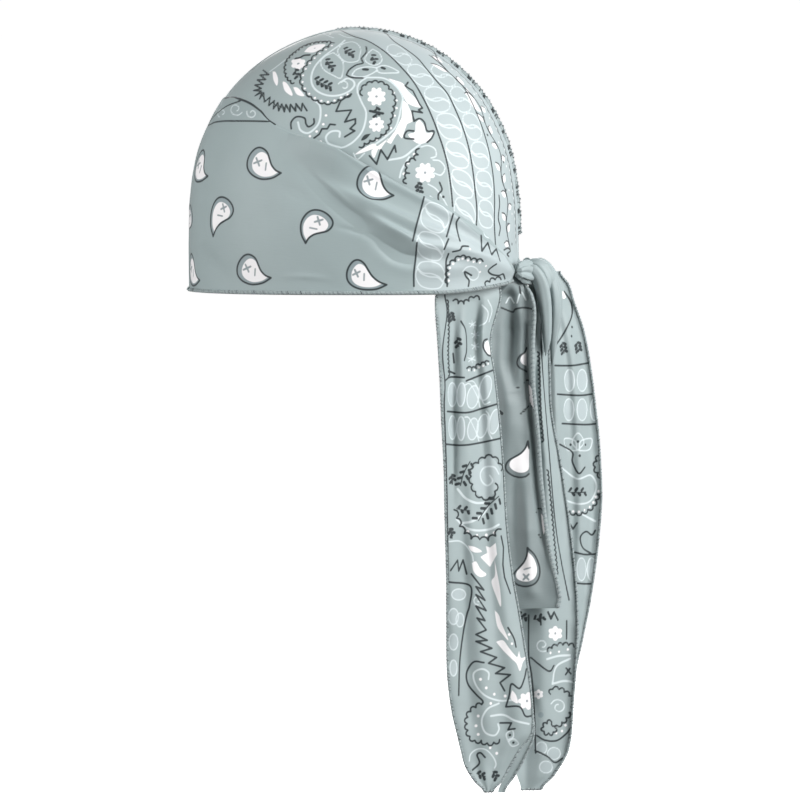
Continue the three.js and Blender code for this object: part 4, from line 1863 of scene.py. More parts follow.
BAND_FOLDS = (
    Fold(((300, 140), (340, 155.5), (382, 179), (425, 201.5), (453, 217), (480, 236), (505, 258)),
        (0.6, 1.4, 1.6, 1.6, 1.6, 1.4, 1.0), 2.4),
    Fold(((288, 135), (309, 144), (338, 158), (364, 171)), (0.0, 5.2, 6.4, 1.4), 2.4, 10.5),
    Fold(((284, 146), (300, 163), (322, 182), (346, 200)), (-0.6, -1.6, -1.6, -0.6), 6.0),
    Fold(((300, 160), (330, 187), (368, 205), (412, 225), (445, 237), (478, 252), (505, 266)),
        (0.0, 1.8, 3.8, 4.2, 3.8, 3.0, 1.6), 4.2, 6.0),
    Fold(((304, 170), (321, 185), (342, 205), (363, 221), (385, 229)), (0.0, -2.0, -3.2, -3.0, 0.0), 2.6,
        5.0),
    Fold(((360, 212), (382, 227), (401, 238.5), (416, 245), (445, 250), (480, 258), (505, 268)),
        (0.0, 2.6, 4.4, 4.6, 3.6, 2.4, 1.4), 3.4, 4.8),
    Fold(((362, 215), (375, 223), (392, 232), (414, 241)), (0.0, 2.2, 2.2, 0.8), 2.8),
    Fold(((366, 232), (388, 249), (401, 257), (414, 259), (430, 258)), (0.0, -2.0, -3.4, -3.0, 0.0), 2.8,
        5.0),
    Fold(((345, 227), (376, 247), (400, 264), (440, 268), (475, 268), (505, 272)),
        (0.0, 0.8, 1.4, 1.8, 1.8, 1.2), 5.0),
    Fold(((200, 243), (212, 262), (226, 280)), (0.0, -1.2, -0.4), 4.5),
    Fold(((333, 226), (356, 231), (378, 239)), (0.0, -1.2, -0.5), 1.8),
    Fold(((278, 277), (305, 276.5), (335, 280)), (0.0, 0.6, 0.0), 1.8),
    Fold(((205, 150), (207, 190), (206, 240)), (0.0, -0.9, 0.0), 5.0),
    Fold(((262, 176), (292, 191), (334, 213)), (0.0, -0.8, 0.0), 5.0),
    Fold(((312, 172), (333, 190), (348, 204), (364, 216)), (0.0, 0.9, 1.0, 0.0), 1.4),
)

TAIL_FOLDS = (
    Fold(((449, 330), (451, 400), (452, 470), (451, 540)), (0.0, -3.2, -3.2, 0.0), 3.0),
    Fold(((459, 350), (461, 420), (461, 480), (459, 520)), (0.0, 3.0, 3.0, 0.0), 4.0),
    Fold(((474, 296), (476, 330), (478, 360)), (-1.0, -3.0, 0.0), 4.0),
    Fold(((484, 300), (482, 330), (487, 365)), (1.0, 2.6, 0.0), 3.0),
    Fold(((446, 560), (448, 640), (455, 700)), (0.0, -1.6, 0.0), 3.0),
    Fold(((492, 600), (498, 660), (505, 720)), (0.0, 1.6, 0.0), 6.0),
    Fold(((465, 345), (467, 380), (468, 440)), (0.0, -1.2, 0.0), 1.2, 3.0),
)

CAPE_FOLDS = (
    Fold(((509.4, 298), (509.5, 330), (508.5, 365), (512, 392)), (-7.0, -12.0, -10.0, -2.0), 4.6),
    Fold(((521, 315), (521, 360), (518, 400)), (1.0, 3.0, 0.0), 4.0),
    Fold(((527.6, 325), (527, 372), (530, 406), (533.5, 441), (537, 490), (542, 530), (549, 575)),
        (-1.5, -3.2, -3.2, -3.0, -2.4, -1.5, 0.0), 1.8),
    Fold(((513, 425), (514, 500), (517, 565)), (0.0, -3.6, -2.0), 4.5),
    Fold(((526, 470), (529, 530), (532, 590)), (0.5, 3.5, 1.5), 4.5),
)


# The print, charted in the picture of the wearer's left


def together(*groups: tuple[Mark, ...]) -> tuple[Mark, ...]:
    """Groups of marks as one."""
    return tuple(mark for group in groups for mark in group)


SEAM_BORDER = together(
    # Three dark lines that follow the seam
    dark((341, 30.5), (353.6, 36.3), (367, 40.6), (379.4, 47.7), (390.9, 56.8), (401.4, 67.4), (411, 78.4),
        (418.6, 89.8), (427.2, 106.1), (433.9, 121.4), (438.7, 134.8), (443.6, 149.4), (447.8, 166.4),
        (450.9, 187), (452.7, 206.3)),
    fine((339, 34), (346, 37), (354, 38)),
    dark((381.3, 30.5), (387, 34.3), (393.8, 41), (405.2, 48.7), (417.7, 58.3), (427.2, 69.7),
        (436.8, 81.2), (447.4, 93.5), (455.4, 109.6), (463.5, 129.6), (469.5, 151), (472.9, 171.2),
        (474.9, 188.6), (476.9, 210), (476.2, 228.7)),
    dark((405, 33), (425.3, 45.8), (434, 51.6), (438, 60), (447.4, 70.7), (462.1, 85.4), (470.2, 98.8),
        (479.6, 120.3), (486.3, 140.4), (490.9, 160.4), (493.6, 180.5), (494.6, 200.6), (494.3, 220.7),
        (495.6, 247.5)),
    stripe_rings(((384, 51), (401.4, 67.4), (418.6, 89.8), (433.9, 121.4), (443.6, 149.4), (450.9, 187),
        (453.5, 216)), ((396, 42), (427.2, 69.7), (447.4, 93.5), (463.5, 129.6), (472.9, 171.2),
        (476.9, 210), (476.2, 230)), 29.5, 12),
    stripe_rings(((427.2, 69.7), (447.4, 93.5), (463.5, 129.6), (472.9, 171.2), (476.9, 210),
        (476.2, 230)), ((440, 61.5), (462.1, 85.4), (479.6, 120.3), (490.9, 160.4), (494.6, 200.6),
        (495, 236)), 29.5, 14),
    pale((341, 30), (367, 40.6), (401, 67.4), (427, 106), (443.6, 149.4), (452.7, 206), (476, 228),
        (500, 250), (517, 262), (519, 200), (512, 150), (495, 105), (470, 72), (430, 42), (395, 28)),
)
SEAM_LILIES = together(
    white((466, 87), (471.5, 94.8), (478.2, 106.9), (481, 112), (474, 108), (468, 98)),
    dots(((483.6, 117),), 1.8, Ink.DARK),
    dark((499, 195.3), (499.6, 204.6), (498.3, 218), (500.3, 227.4), (499, 235.4)),
    dark((504, 250), (508, 248), (510.5, 251), (507, 254), (509, 256.5)),
    *(dots(((x, y),), 1.8, Ink.DARK) for x, y in ((487.5, 135), (503.5, 162), (506, 190), (508, 224),
        (512, 244))),
)
FIRST_PAISLEY = together(
    scallops((351.2, 93.7), (342, 97.5), (335.4, 100.8), (327.7, 103.2), (321, 101.3), (314.4, 98.4),
        (307.7, 93.7), (302.9, 86), (301.4, 77.4), (304.8, 69.7), (308.6, 63), (313.4, 59.2),
        (318.2, 53.5), (326.8, 48.7), (334.4, 43), pitch=7.2, depth=2.2, beads=1.5),
    fine((345, 40), (338.3, 45.8), (323.9, 56.4), (315.3, 66), (311.5, 75.5), (312.4, 85), (318.2, 91.7),
        (328.7, 95.6), (340.2, 95), (349.7, 90.8), (354.5, 85), (352.6, 80.3), (346.9, 78.4),
        (341.1, 82.2), width=1.2),
    fine((333.5, 52.5), (341.1, 59.2), (343.5, 65.9), (341.1, 77.9), (333.5, 75.5), (323.9, 69.7),
        (320.6, 62), (324.9, 56.4), closed=True),
    fine((337.3, 50.6), (343, 43.9), (353.6, 42), (360.3, 47.7), (359.3, 56.4), (357.4, 61.1),
        (347.8, 62.1), (341.1, 58.3), closed=True),
    sprig(329.7, 64, 13, 50),
    sprig(348.8, 51.6, 12, 30),
    sprig(323, 83, 19, 25, 4),
    curl(344, 86, 6, 200, 0.8),
    fine((372.7, 49), (379.5, 53.4), (381.8, 60.2), (377.5, 64.6), (370.8, 64.6), (365, 60.2), (367, 54.4),
        width=0.9, closed=True),
    sprig(373.7, 58.3, 9, 60, 2),
)
LEAF_PAIR = together(
    fine((351.7, 75), (356.4, 69.5), (366, 67), (375.8, 67.8), (376, 71), (366, 76.2), (357, 76.8),
        width=0.9, closed=True),
    fine((376.5, 67.8), (382.3, 65.6), (389, 66.5), (399, 72.1), (390, 73), (379.4, 72.6), width=0.9,
        closed=True),
    dark((366, 46.5), (366.5, 52), (361.5, 58.5), (363, 63), (356, 65), (349, 70), (346.5, 75)),
    dark((346.5, 75), (352, 77.5), (363, 78)),
    dark((363.5, 69.3), (367.5, 69.6), width=1.9),
    dark((382, 67.6), (384.5, 68.6), width=1.9),
)
SECOND_PAISLEY = together(
    fine((367, 77.4), (384.2, 78.4), (395.7, 86), (402.4, 96.5), (401.4, 106.1), (396.6, 125.2),
        (388, 134.8), (376.5, 143.4), (367, 149.1), width=1.1),
    fine((367, 77.4), (359.3, 83.1), (357.4, 90.8), (361.2, 101.3), (366, 111.8), (365, 123.3),
        (361.2, 132.9), (353.6, 141.5), (346, 146.3), (341, 147.7), width=1.1),
    scallops((362.2, 95.6), (361.2, 90.8), (365, 86), (371.7, 82.7), (378.4, 82.7), (385.1, 85),
        (389.9, 90.8), (393.8, 97.5), (393.8, 103.2), (391.8, 109.9), (390.9, 117.6), (388, 124.3),
        (386.1, 131), (380.4, 134.8), (374.6, 138.6), (367, 141.5), (359.3, 147.2), pitch=6.4, depth=2.2),
    dots(((393.8, 92.7), (396.6, 100.4), (396.6, 108), (394.7, 115.7), (390.9, 128.1), (385.1, 134.8),
        (376.5, 139.6)), 1.5),
    flower(376.5, 96.5, 9.6),
    flower(376.5, 124.3, 8),
    sprig(376.5, 111.8, 10, 90, 2),
    dark((370, 111), (383, 113.5), width=1.6),
    dark((371, 133.5), (364.5, 135), (361, 140.5), (366, 139), width=0.0),
)
CROWN_LEAVES = together(
    white((387.5, 78), (395, 80.4), (402.8, 83.4), (407.4, 90.3), (416.5, 99.5), (421.1, 107.1),
        (412, 105.6), (405.8, 101), (401.2, 91.8), (395, 84.2)),
    white((403, 100), (407.5, 104), (411.5, 113), (412.5, 121.5), (407, 124), (404.5, 131), (402, 139),
        (397.5, 133), (393.5, 139.5), (391, 144), (386.5, 142), (395, 131), (401.5, 118), smooth=False),
    white((388.5, 138), (382, 147), (380.5, 152), (378.5, 148.5), (374, 158), (371.5, 151), (380, 144.5)),
    white((377, 147), (366, 151.5), (355, 154.5), (364, 148), (374, 143.5)),
    dark((408.1, 82.2), (405.2, 86), (412.9, 90.8), (419.6, 104.2), (422.4, 108), (418.6, 109.9),
        (422.4, 112.8), (411.9, 110.9), (413.8, 120.4), smooth=False),
    white((419.6, 119.5), (424.4, 126.2), (426.3, 132.9), (433, 132.9), (427.2, 141.5), (417.7, 143.4),
        (408.1, 134.8), (414.8, 132), (415.8, 123.3)),
    dark((413.8, 121.4), (419.6, 118.5), (424.4, 122.4), (427.2, 131), (433.9, 131), (432, 137.7),
        (427.2, 142.4)),
    dark((413.8, 131), (407.1, 131), (404.3, 137.7), (413.8, 139.1)),
    dark((369.4, 155.7), (376.6, 164.2), (380.9, 149.7), (387.5, 159.4), (394.8, 145.4), (396, 152.1),
        smooth=False),
    fine((353.6, 153.3), (357.2, 159.4), (364.5, 153.3)),
    fine((388.8, 160), (403.3, 157), (413, 149.7), (420.3, 144.2), width=1.2),
    fine((399.7, 177.5), (402.1, 169), (409.4, 157), width=1.1),
    scallops((406.3, 183.6), (404.5, 180), (409.4, 173.9), (406.9, 169), (409.4, 161.8), (416.6, 159.4),
        (419, 148.5)),
    dots(((414.2, 154.5), (408.1, 163), (403.9, 173.9)), 1.8),
    flower(425.1, 172.7, 10.3),
    fine((421, 147), (428, 145.5), (435, 149), (436, 156), (431, 158)),
    fine((433, 160), (440, 161), (445, 168), (441, 175), (434, 173)),
    fine((428, 184), (437, 190), (447, 206), (440, 204), (430, 196)),
    sprig(419, 188.2, 12, 80),
    dark((439.6, 182.4), (442, 189.7), (438.4, 194.5), (438.4, 201.8)),
    dots(((443.3, 196.9),), 1.8, Ink.DARK),
)
CROWN_FRONT = together(
    # The panel between two toothed lines, with its two flowers
    scallops((331, 42.7), (316.8, 43.3), (303.8, 47.1), (297.8, 51.5), (290.7, 56.9), (286.4, 63.4),
        (285.9, 72), (288.6, 78.6), (294, 83), pitch=4.2, depth=-1.9),
    white((304, 52), (309, 47), (317, 44.5), (325.5, 44.5), (321, 49), (313, 52.5)),
    dots(((314.6, 48.2),), 1.2, Ink.GREY),
    dark((295.5, 58.4), (300, 57.6), (304, 55.4), (309.5, 55), width=1.7),
    flower(298.3, 63.6, 6.5, 6, 1.2),
    sprig(296.2, 73, 9, 70, 2),
    fine((270, 71.5), (280, 64), (288.5, 57), width=0.9),
    # Three leaves and the feather below them
    white((272.5, 71.5), (275.5, 72), (278, 79), (277, 85.8), (273.5, 80)),
    white((282, 81), (286.5, 83), (291, 90), (292.5, 96), (285, 91)),
    white((293, 87), (298, 88), (304.5, 95.8), (297, 94.5)),
    teeth((263, 70), (256.5, 81), (253.5, 90), (256, 97), (263, 101), (271, 107.5), (279, 111), (288, 112),
        (298, 111), (307, 110.8), pitch=5.6, depth=7.5),
    fine((310, 36), (322, 34), (334, 38)),
    dots(((292, 46), (304, 38), (330, 34)), 1.6),
    dark((291.2, 128.8), (291.2, 122.1), (296.5, 116.8), (304.5, 118.1), (305.9, 123.5), (308.6, 126.8),
        (313.9, 123.5), (313.9, 118.8)),
    fine((297.9, 122.1), (300.5, 130.2), (308.6, 132.9), (317.9, 124.8), (320.6, 114.1), (319.3, 104.7),
        (312.6, 99.4), width=1.2),
    dots(((326, 115.4), (323.3, 124.2), (316.6, 131.5), (309.9, 136.2), (320.6, 141.6)), 1.6),
    dark((313.9, 138.2), (319.3, 134.2), (322, 128.8), (327.3, 128.8), (330, 124.2), (335.3, 124.8),
        smooth=False),
    fine((339.4, 136.9), (339.4, 131.5), (331.3, 131.5), (326, 136.9), (328.7, 143.6), (340.7, 147.6),
        width=1.2),
    dark((351.4, 94), (340.7, 100.7), (336, 111.4), (351.4, 110.1), (344.7, 122.1), (355.4, 118.8),
        (355.4, 123.5), (350, 128.8), (354.8, 130.8), (344.7, 136.9), smooth=False),
)
CROWN_PRINT = together(
    SEAM_BORDER,
    SEAM_LILIES,
    FIRST_PAISLEY,
    LEAF_PAIR,
    SECOND_PAISLEY,
    CROWN_LEAVES,
    CROWN_FRONT,
)

BAND_DROPS = together(
    drop((259, 163.2), (281.1, 173)),
    drop((222.6, 209), (208.6, 236.6), narrow=0.68),
    drop((317.2, 221.9), (305.6, 243.3)),
    drop((248.3, 269.4), (271, 277.8), 14.8),
    drop((369.5, 182), (393.6, 195.5), 16),
    drop((357.6, 274.4), (386.7, 284.8), 14.3),
)
BAND_STRIPES = together(
    pale((424.2, 196.6), (453, 213), (480, 236), (505, 256), (514, 272), (508, 286), (447, 291),
        (413.9, 290), (415.7, 257.2), (416.3, 225.7), smooth=False),
    dark((424.2, 196.6), (420, 212.4), (416.3, 225.7), (412.7, 240.9)),
    dark((416.9, 242.7), (415.7, 257.2), (413.9, 273), (413.9, 286.3)),
    dark((453.3, 213.6), (446.6, 236.6)),
    dark((448.5, 239), (444.2, 249.4)),
    dark((448.5, 253.6), (446, 263.3), (447.2, 286.3)),
    stripe_rings(((424.2, 196.6), (416.3, 225.7), (414, 257.2), (413.9, 288)), ((453.3, 213.6),
        (446.6, 236.6), (446, 260), (447.2, 289)), 29, 13),
    dark((459.4, 217.2), (456.3, 223.3), (458.1, 234.2), (460, 240.9)),
    dark((452.7, 251.8), (460, 250), (462.4, 246.3), (468.4, 246.3)),
    scallops((447.8, 283.9), (448.5, 273), (449, 265.7), (456.3, 260.9), (462.4, 256), (467.2, 260.9),
        (473.3, 259.7), (478.1, 262.7), (483, 261.5), beads=1.6),
    dark((471.5, 275.4), (464.8, 271.8), (466, 276.6), (469, 280.3), (468.4, 286.3)),
    dark((481.2, 235.4), (481.8, 251.2), (487.8, 242.7), (491.5, 254.8), (496.3, 248.8), (500, 260.9),
        smooth=False),
    dark((496.5, 264), (492, 267), (488.3, 271), (492, 274.5), (499, 275.5), (503, 274), (505, 279)),
    scallops((485.4, 285.7), (492.7, 280.3), (501.2, 279.7), pitch=5.5),
    curl(472, 275, 10, 200, 1.0),
    dots(((480, 272), (486, 266), (470, 249)), 1.4),
    curl(489, 232, 6, 90, 1.0),
)
BAND_TOP = together(
    dark((225, 98), (233.6, 97.2), (242.5, 100), (251.6, 104.2), (259.4, 110), (267.2, 117.8),
        (275, 124.5), width=1.5),
    dark((208, 125.5), (218.8, 121.5), (245, 121), (271, 121.5)),
    curl(236, 109, 7, 30, 1.1),
    curl(252, 113, 5.5, 200, -1.0),
    curl(222, 113, 5, 120, 0.9),
)
BAND_PRINT = together(BAND_DROPS, BAND_STRIPES, BAND_TOP)
FRONT_PRINT = together(
    drop((447, 162), (470, 172)),
    drop((443, 267), (466, 277)),
    drop((353, 162), (330, 172), bend=-1),
    drop((357, 267), (334, 277), bend=-1),
    drop((403, 147), (389, 169)),
    drop((432, 214), (418, 237)),
    drop((368, 211), (382, 234), bend=-1),
    drop((402, 252), (388, 273)),
    dark((335, 97), (352, 104), (372, 116), (386, 122)),
    dark((386, 122), (400, 119.5), (414, 122)),
    dark((414, 122), (430, 115), (450, 103), (465, 97)),
    curl(372, 104, 7, 200, 1.0),
    curl(428, 104, 7, -20, -1.0),
    curl(400, 107, 6, 90, 1.0),
)
BACK_PRINT = together(
    scallops((389, 30), (386, 60), (384, 100), (383, 150), (385, 200), (388, 240), pitch=7, beads=1.3),
    vine((372, 52), (364, 76), (368, 100), (359, 124), (366, 148), (357, 172), (364, 196), (357, 222),
        (366, 246)),
    dots(((378, 66), (374, 90), (376, 114), (372, 138), (374, 162), (371, 186), (374, 210)), 1.4),
)

NEAR_EDGE = together(
    scallops((453, 300.7), (459.8, 304.1), (466.7, 303), (473.6, 297.8), (479.4, 299.5), pitch=5.5),
    dark((444.3, 285.7), (445, 297), (447, 314), (442.6, 351), (445, 383), (444.3, 406), (445.5, 440.7),
        (447, 500), (447.8, 580)),
    sprig(451, 316.6, 9, 80),
    star(472.7, 324.4),
    star(475.3, 334.6),
    star(475.3, 346),
    star(471.5, 359),
    scallops((447, 300), (448, 330), (447.4, 352), (448.4, 376), pitch=4.2, depth=1.4),
    sprig(458, 342, 9, 80, 2),
    dark((461, 321.3), (465.6, 330.5), (466.7, 348.9), (464.4, 360.4)),
    white((488, 340), (485, 343), (484.6, 348), (487.8, 353.4), (491, 354)),
    dark((487.4, 339.1), (484, 340.8), (483.4, 347.7), (487.4, 354.6), (490.8, 355.8)),
    dark((453, 353.5), (454, 362.7)),
    dark((448.4, 370.7), (454.7, 373.6)),
    fine((482, 305), (488, 312), (486, 322), (479, 326)),
    fine((488, 300), (492, 310), (489, 322)),
    scallops((466.7, 368.4), (473.6, 370.7), (480.5, 365), (487.4, 365), (489.1, 361.5), pitch=5.5,
        beads=1.4),
)
NEAR_RINGS = together(
    dark((446, 379.9), (450.7, 377), (464.4, 377.6)),
    dark((466.2, 381), (475.9, 377), (493.1, 370.1)),
    dark((447.2, 411.4), (466.7, 412.6), (481.7, 408.6), (497.2, 404)),
    dark((446, 444.2), (461, 445.3), (475.9, 443.6), (500.6, 438.4)),
    ring(452.3, 394.6, 4.4, 12),
    ring(461.2, 394.6, 4.2, 12, 4),
    ring(473, 397, 5.8, 11.5, 10),
    ring(485.5, 388, 5.8, 12.5, 12),
    ring(452.5, 427.5, 3.8, 12),
    ring(461, 428.5, 3.8, 12),
    ring(473, 429, 5.2, 11, 8),
    ring(482.5, 426, 5.2, 12, 12),
    ring(494.6, 421.5, 5, 12.5, 12),
    fine((465, 385), (470, 384), (477, 396), (480, 407), width=0.8),
    fine((467, 381), (474, 382), (480, 394), (484, 404), (490, 402), width=0.8),
    fine((465, 417), (469, 418), (475, 430), (479, 441), width=0.8),
    fine((486, 411), (489, 416), (488, 430), (492, 439), width=0.8),
)
NEAR_SCROLL = together(
    scallops((501.2, 470.7), (497.7, 462.6), (492, 456.9), (485, 458), (479.4, 462.6), (472.5, 468.4),
        (471.3, 477.6), (473.6, 486.7), (478.2, 494.8), (487.4, 498.2), (494.3, 492.5), (495.4, 483.3),
        pitch=8.2, depth=-3.0),
    fine((489.7, 475.3), (492.6, 481), (487.4, 485.6), (481.7, 481), (480.5, 473), (485, 467.2),
        (494.3, 467.2), (498.9, 474.1), width=1.0),
    pale((501, 471), (497, 463), (491, 457), (485, 458), (479, 463), (472.5, 468.4), (471.3, 477.6),
        (473.6, 486.7), (478.2, 494.8), (487.4, 498.2), (494.3, 492.5), (500, 484)),
    sprig(465.3, 473.5, 26, 112, 4),
    sprig(488.5, 508.5, 32, 130, 5),
    sprig(463.3, 509.5, 13, 10, 2),
    fine((457.6, 489), (465.6, 498.2), (475.9, 502.8), (488.5, 503.4), (482.8, 514.3), (472.5, 521.2),
        (463.3, 522.9), width=1.4),
    fine((456.4, 518.9), (464.4, 526.9), (475.9, 530.4), (489.7, 529.2), (498.9, 524.6), width=1.3),
    scallops((501.2, 529.2), (494.3, 537.2), (487.4, 540.7), (479.4, 539.5), (472.5, 539.5),
        (464.4, 533.8), (458.7, 524.6), (454, 509.7), pitch=8.5, depth=-3.2),
    dots(((467.9, 531.5), (477, 535.5), (486.3, 535), (494.3, 532.7)), 1.8),
    dark((451.8, 475.3), (452.2, 484)),
    dark((450.7, 529.2), (452, 538)),
    white((485.9, 545.9), (490, 547.5), (495.7, 543), (497, 554.3), (490, 567), (480.3, 557), (487.3, 553),
        smooth=False),
    white((468, 545.5), (475, 547), (482, 551.5), (475, 552.5), (470.5, 550)),
    white((471.9, 563), (476, 561.5), (480.5, 569), (486.5, 574.5), (480.3, 577), (474, 572)),
    fine((448, 541.7), (459, 541), (466.3, 545.9), (471.9, 554.3), (473.3, 561)),
    sprig(451, 532, 8, 60, 2),
    sprig(452, 478, 8, 80, 2),
)
NEAR_LEAF = together(
    white((494.5, 560), (497.5, 575), (500.3, 591), (500.9, 606.7), (496.4, 597), (491.5, 582),
        (495, 575)),
    white((494.6, 610.2), (498.8, 615), (501.6, 623.5), (508.6, 640.3), (503, 634.7), (497.4, 626.3)),
    dark((450.7, 570.5), (457.6, 560.2), (458.7, 571), (463, 560), (466.7, 574), smooth=False),
    dark((471.3, 574), (484, 590), (475.9, 586.6), (485.1, 600.4), (475.9, 594.6), (486.3, 610.7),
        (475.9, 606), (485.1, 620.7), (477, 618), (486.3, 630), (475.9, 634.5), (487.4, 640.3),
        (475.9, 641.4), (492, 648.3), (480.5, 651.7), (496.6, 657.5), (488.5, 663.2), (504.6, 667.8),
        (495.4, 673.5), (510.4, 674.7), (500, 682.7), (504.6, 690.8), smooth=False),
    dark((448.9, 582), (470.2, 586), (469.6, 605), (466.7, 615), (463.3, 632.2), (459.8, 661),
        (458.7, 695.4)),
    ring(458.7, 594.5, 7, 5.5),
    ring(453.5, 616.5, 5, 8),
    ring(460, 620, 4, 7),
    ring(453.5, 642, 4.5, 8),
    ring(453.5, 668, 3.6, 8),
    curl(478, 600, 5, 90, 1.0),
)
NEAR_FOOT = together(
    dark((484, 662.6), (473.6, 662), (466.7, 672.4), (467.9, 683.9), (475.9, 694.2), (482.8, 701.1),
        (481.7, 704.5)),
    scallops((499.5, 739.6), (493.1, 742.4), (486.3, 743), (480.5, 740.1), (473.6, 740.1), (469, 734.4),
        (467.3, 724), (468.5, 714.9), (473.6, 709.1), (481.7, 704.5), pitch=6.6),
    dots(((478.2, 716), (476, 725.8), (478.2, 734.4)), 1.8),
    fine((488.5, 679.3), (488.5, 672.4), (481.7, 669), (473.6, 673.5), (475.9, 685), (485, 695.4),
        (498.9, 700.5), (515, 700), width=1.1),
    fine((498.9, 703.4), (487.4, 709.1), (481.7, 720.6), (485, 732.1), (494.3, 735.5), (498.9, 729.8),
        (498, 724), width=1.1),
    fine((490.8, 716), (503.5, 714.9), (515, 720.6), (529, 724), width=1.2),
    dots(((480.5, 679.3), (486.3, 687.9), (494.3, 694.2), (505.2, 696), (490.8, 703.4)), 1.8),
    flower(527, 701, 9, 7),
    white((496, 641.7), (503, 640.3), (508.6, 647.4), (514.2, 654.4), (517.5, 657), (519, 651), (521, 658),
        (527.5, 656), (523, 662), (520, 671), (516.5, 663.5), (511.4, 658.6), (503, 650.2)),
    white((512, 690), (516, 695), (518, 703), (514, 702), (510.5, 698)),
    dark((508, 627.6), (513.8, 638), (516.1, 647.1)),
    dots(((509.2, 634.5), (512, 643.7)), 1.6),
    dark((526.4, 669), (524.1, 679.3), (519.5, 688.5), (511.5, 683.9), (509.2, 695.4), (505.8, 706.8)),
    dark((505.8, 706.8), (519.5, 706.8), (525.3, 716), (531, 716)),
    dark((500, 722.9), (511.5, 722.9), (508, 729.8), (515, 728.7), smooth=False),
    petals(507, 741, 12, -25, 2, 78),
    fine((469.3, 761), (470.7, 754), (477.7, 749), (486, 749.8), (493, 756.8), (496, 763.8), (494.6, 768)),
    dots(((490.3, 747.7), (496.7, 753.3)), 1.8),
    sprig(481, 775, 9, 20, 2),
    sprig(495, 775, 8, 60, 2),
    dark((485.1, 757.4), (480.5, 752.8), (477, 755), (479.4, 763.1), (472.5, 770)),
    dark((501.2, 536.1), (503.5, 547.6), (502.9, 564.8), (504.6, 577.4), (510.4, 593.5), smooth=False),
)
NEAR_PRINT = together(NEAR_EDGE, NEAR_RINGS, NEAR_SCROLL, NEAR_LEAF, NEAR_FOOT)

CAPE_PRINT = together(
    dark((501.2, 307.6), (512.7, 312.1), (515, 309.3), (524.1, 307.6), (533.9, 309.3)),
    fine((506, 303), (510, 297), (514, 303)),
    fine((517, 303), (521, 292), (526, 300)),
    dark((519.5, 287), (520.5, 293), width=1.5),
    drop((531, 361), (536, 335), 14, cut=526.5),
    drop((520, 466.5), (528, 441), 14.3, cut=529),
    drop((526.8, 575.5), (527.3, 547.6), 14.2),
    dark((499.5, 411.5), (502, 413.5), width=2.0),
)
CAPE_FRONT_PRINT = together(
    drop((385, 332), (372, 354)),
    drop((412, 390), (426, 412), bend=-1),
    drop((380, 450), (366, 472)),
    drop((409, 512), (423, 534), bend=-1),
    drop((381, 568), (367, 590)),
)
CAPE_FAR_PRINT = together(
    drop((517, 345), (527, 321)),
    drop((512, 420), (519, 396)),
    drop((518, 497), (527, 473)),
    drop((514, 570), (523, 546)),
)
ROLL_PRINT = together(
    dark((541, 305), (542, 360), (549, 450), (555, 520), (561, 560), (569, 600)),
    dark((528.7, 615), (528.7, 655), (532, 678), (534.5, 718), (535.6, 753)),
    dark((540.2, 616), (541, 625)),
    sprig(522, 616, 10, 20, 2),
    sprig(539, 618, 11, -15, 2),
    dark((548, 612), (551, 619), (554, 612), (558, 620), smooth=False, width=1.4),
    scallops((537.5, 352), (538.5, 380), (539.5, 410), (542, 442), pitch=4.4, depth=1.8),
    scallops((547, 470), (550, 500), (553.5, 540), (557, 575), pitch=5, depth=1.4),
    curl(542.5, 645, 7, 60, 1.1),
    flower(555.3, 633.4, 7.5, 6),
    dark((566.6, 620.7), (566.6, 639)),
    scallops((547.7, 651.7), (557.4, 646), (567.8, 645.4), (574, 647), pitch=6),
    dots(((550.5, 652.9), (559, 651.7), (567.8, 649.4)), 1.7),
    fine((547, 659.2), (558, 656), (570, 655.2), width=1.3),
    fine((570, 658.6), (556.3, 666.7), (552.3, 683.9), width=1.3),
    fine((552.3, 683.9), (564, 681), (574, 682.2), width=1.3),
    dark((570, 668.4), (565.5, 674.7)),
    dark((566, 668), (571, 674)),
    dark((531, 657.5), (539, 664.4), (549.4, 671.3), (554, 665.5)),
    flower(538.5, 694.2, 5, 6),
    scallops((550.5, 694.2), (551.7, 689.6), (559.7, 689.6), (566.6, 694.2), (572.3, 700), (570, 710.3),
        (565.5, 718.3), (557.4, 725.2), (551.7, 721.8), pitch=6),
    scallops((555, 727.5), (551.7, 733.2), (543.6, 730.9), (544.8, 725.2), (551.7, 721.8), pitch=5),
    curl(558.4, 706.8, 8, 200, 1.2),
    dots(((565.5, 725.2), (562, 731), (556.3, 733.2)), 1.7),
    dark((536.8, 735.5), (544.8, 740.1), (556.3, 740.7), (565.5, 734.4), (571.2, 727.5)),
    ring(541.5, 748, 5.5, 6),
    ring(554, 753.5, 6.5, 6),
    ring(546, 767, 6.5, 6),
    dark((535, 750.5), (547, 756.2), (555, 762.5), (562, 758.5)),
    dots(((540.8, 714.9),), 3.4, Ink.SHADE),
)
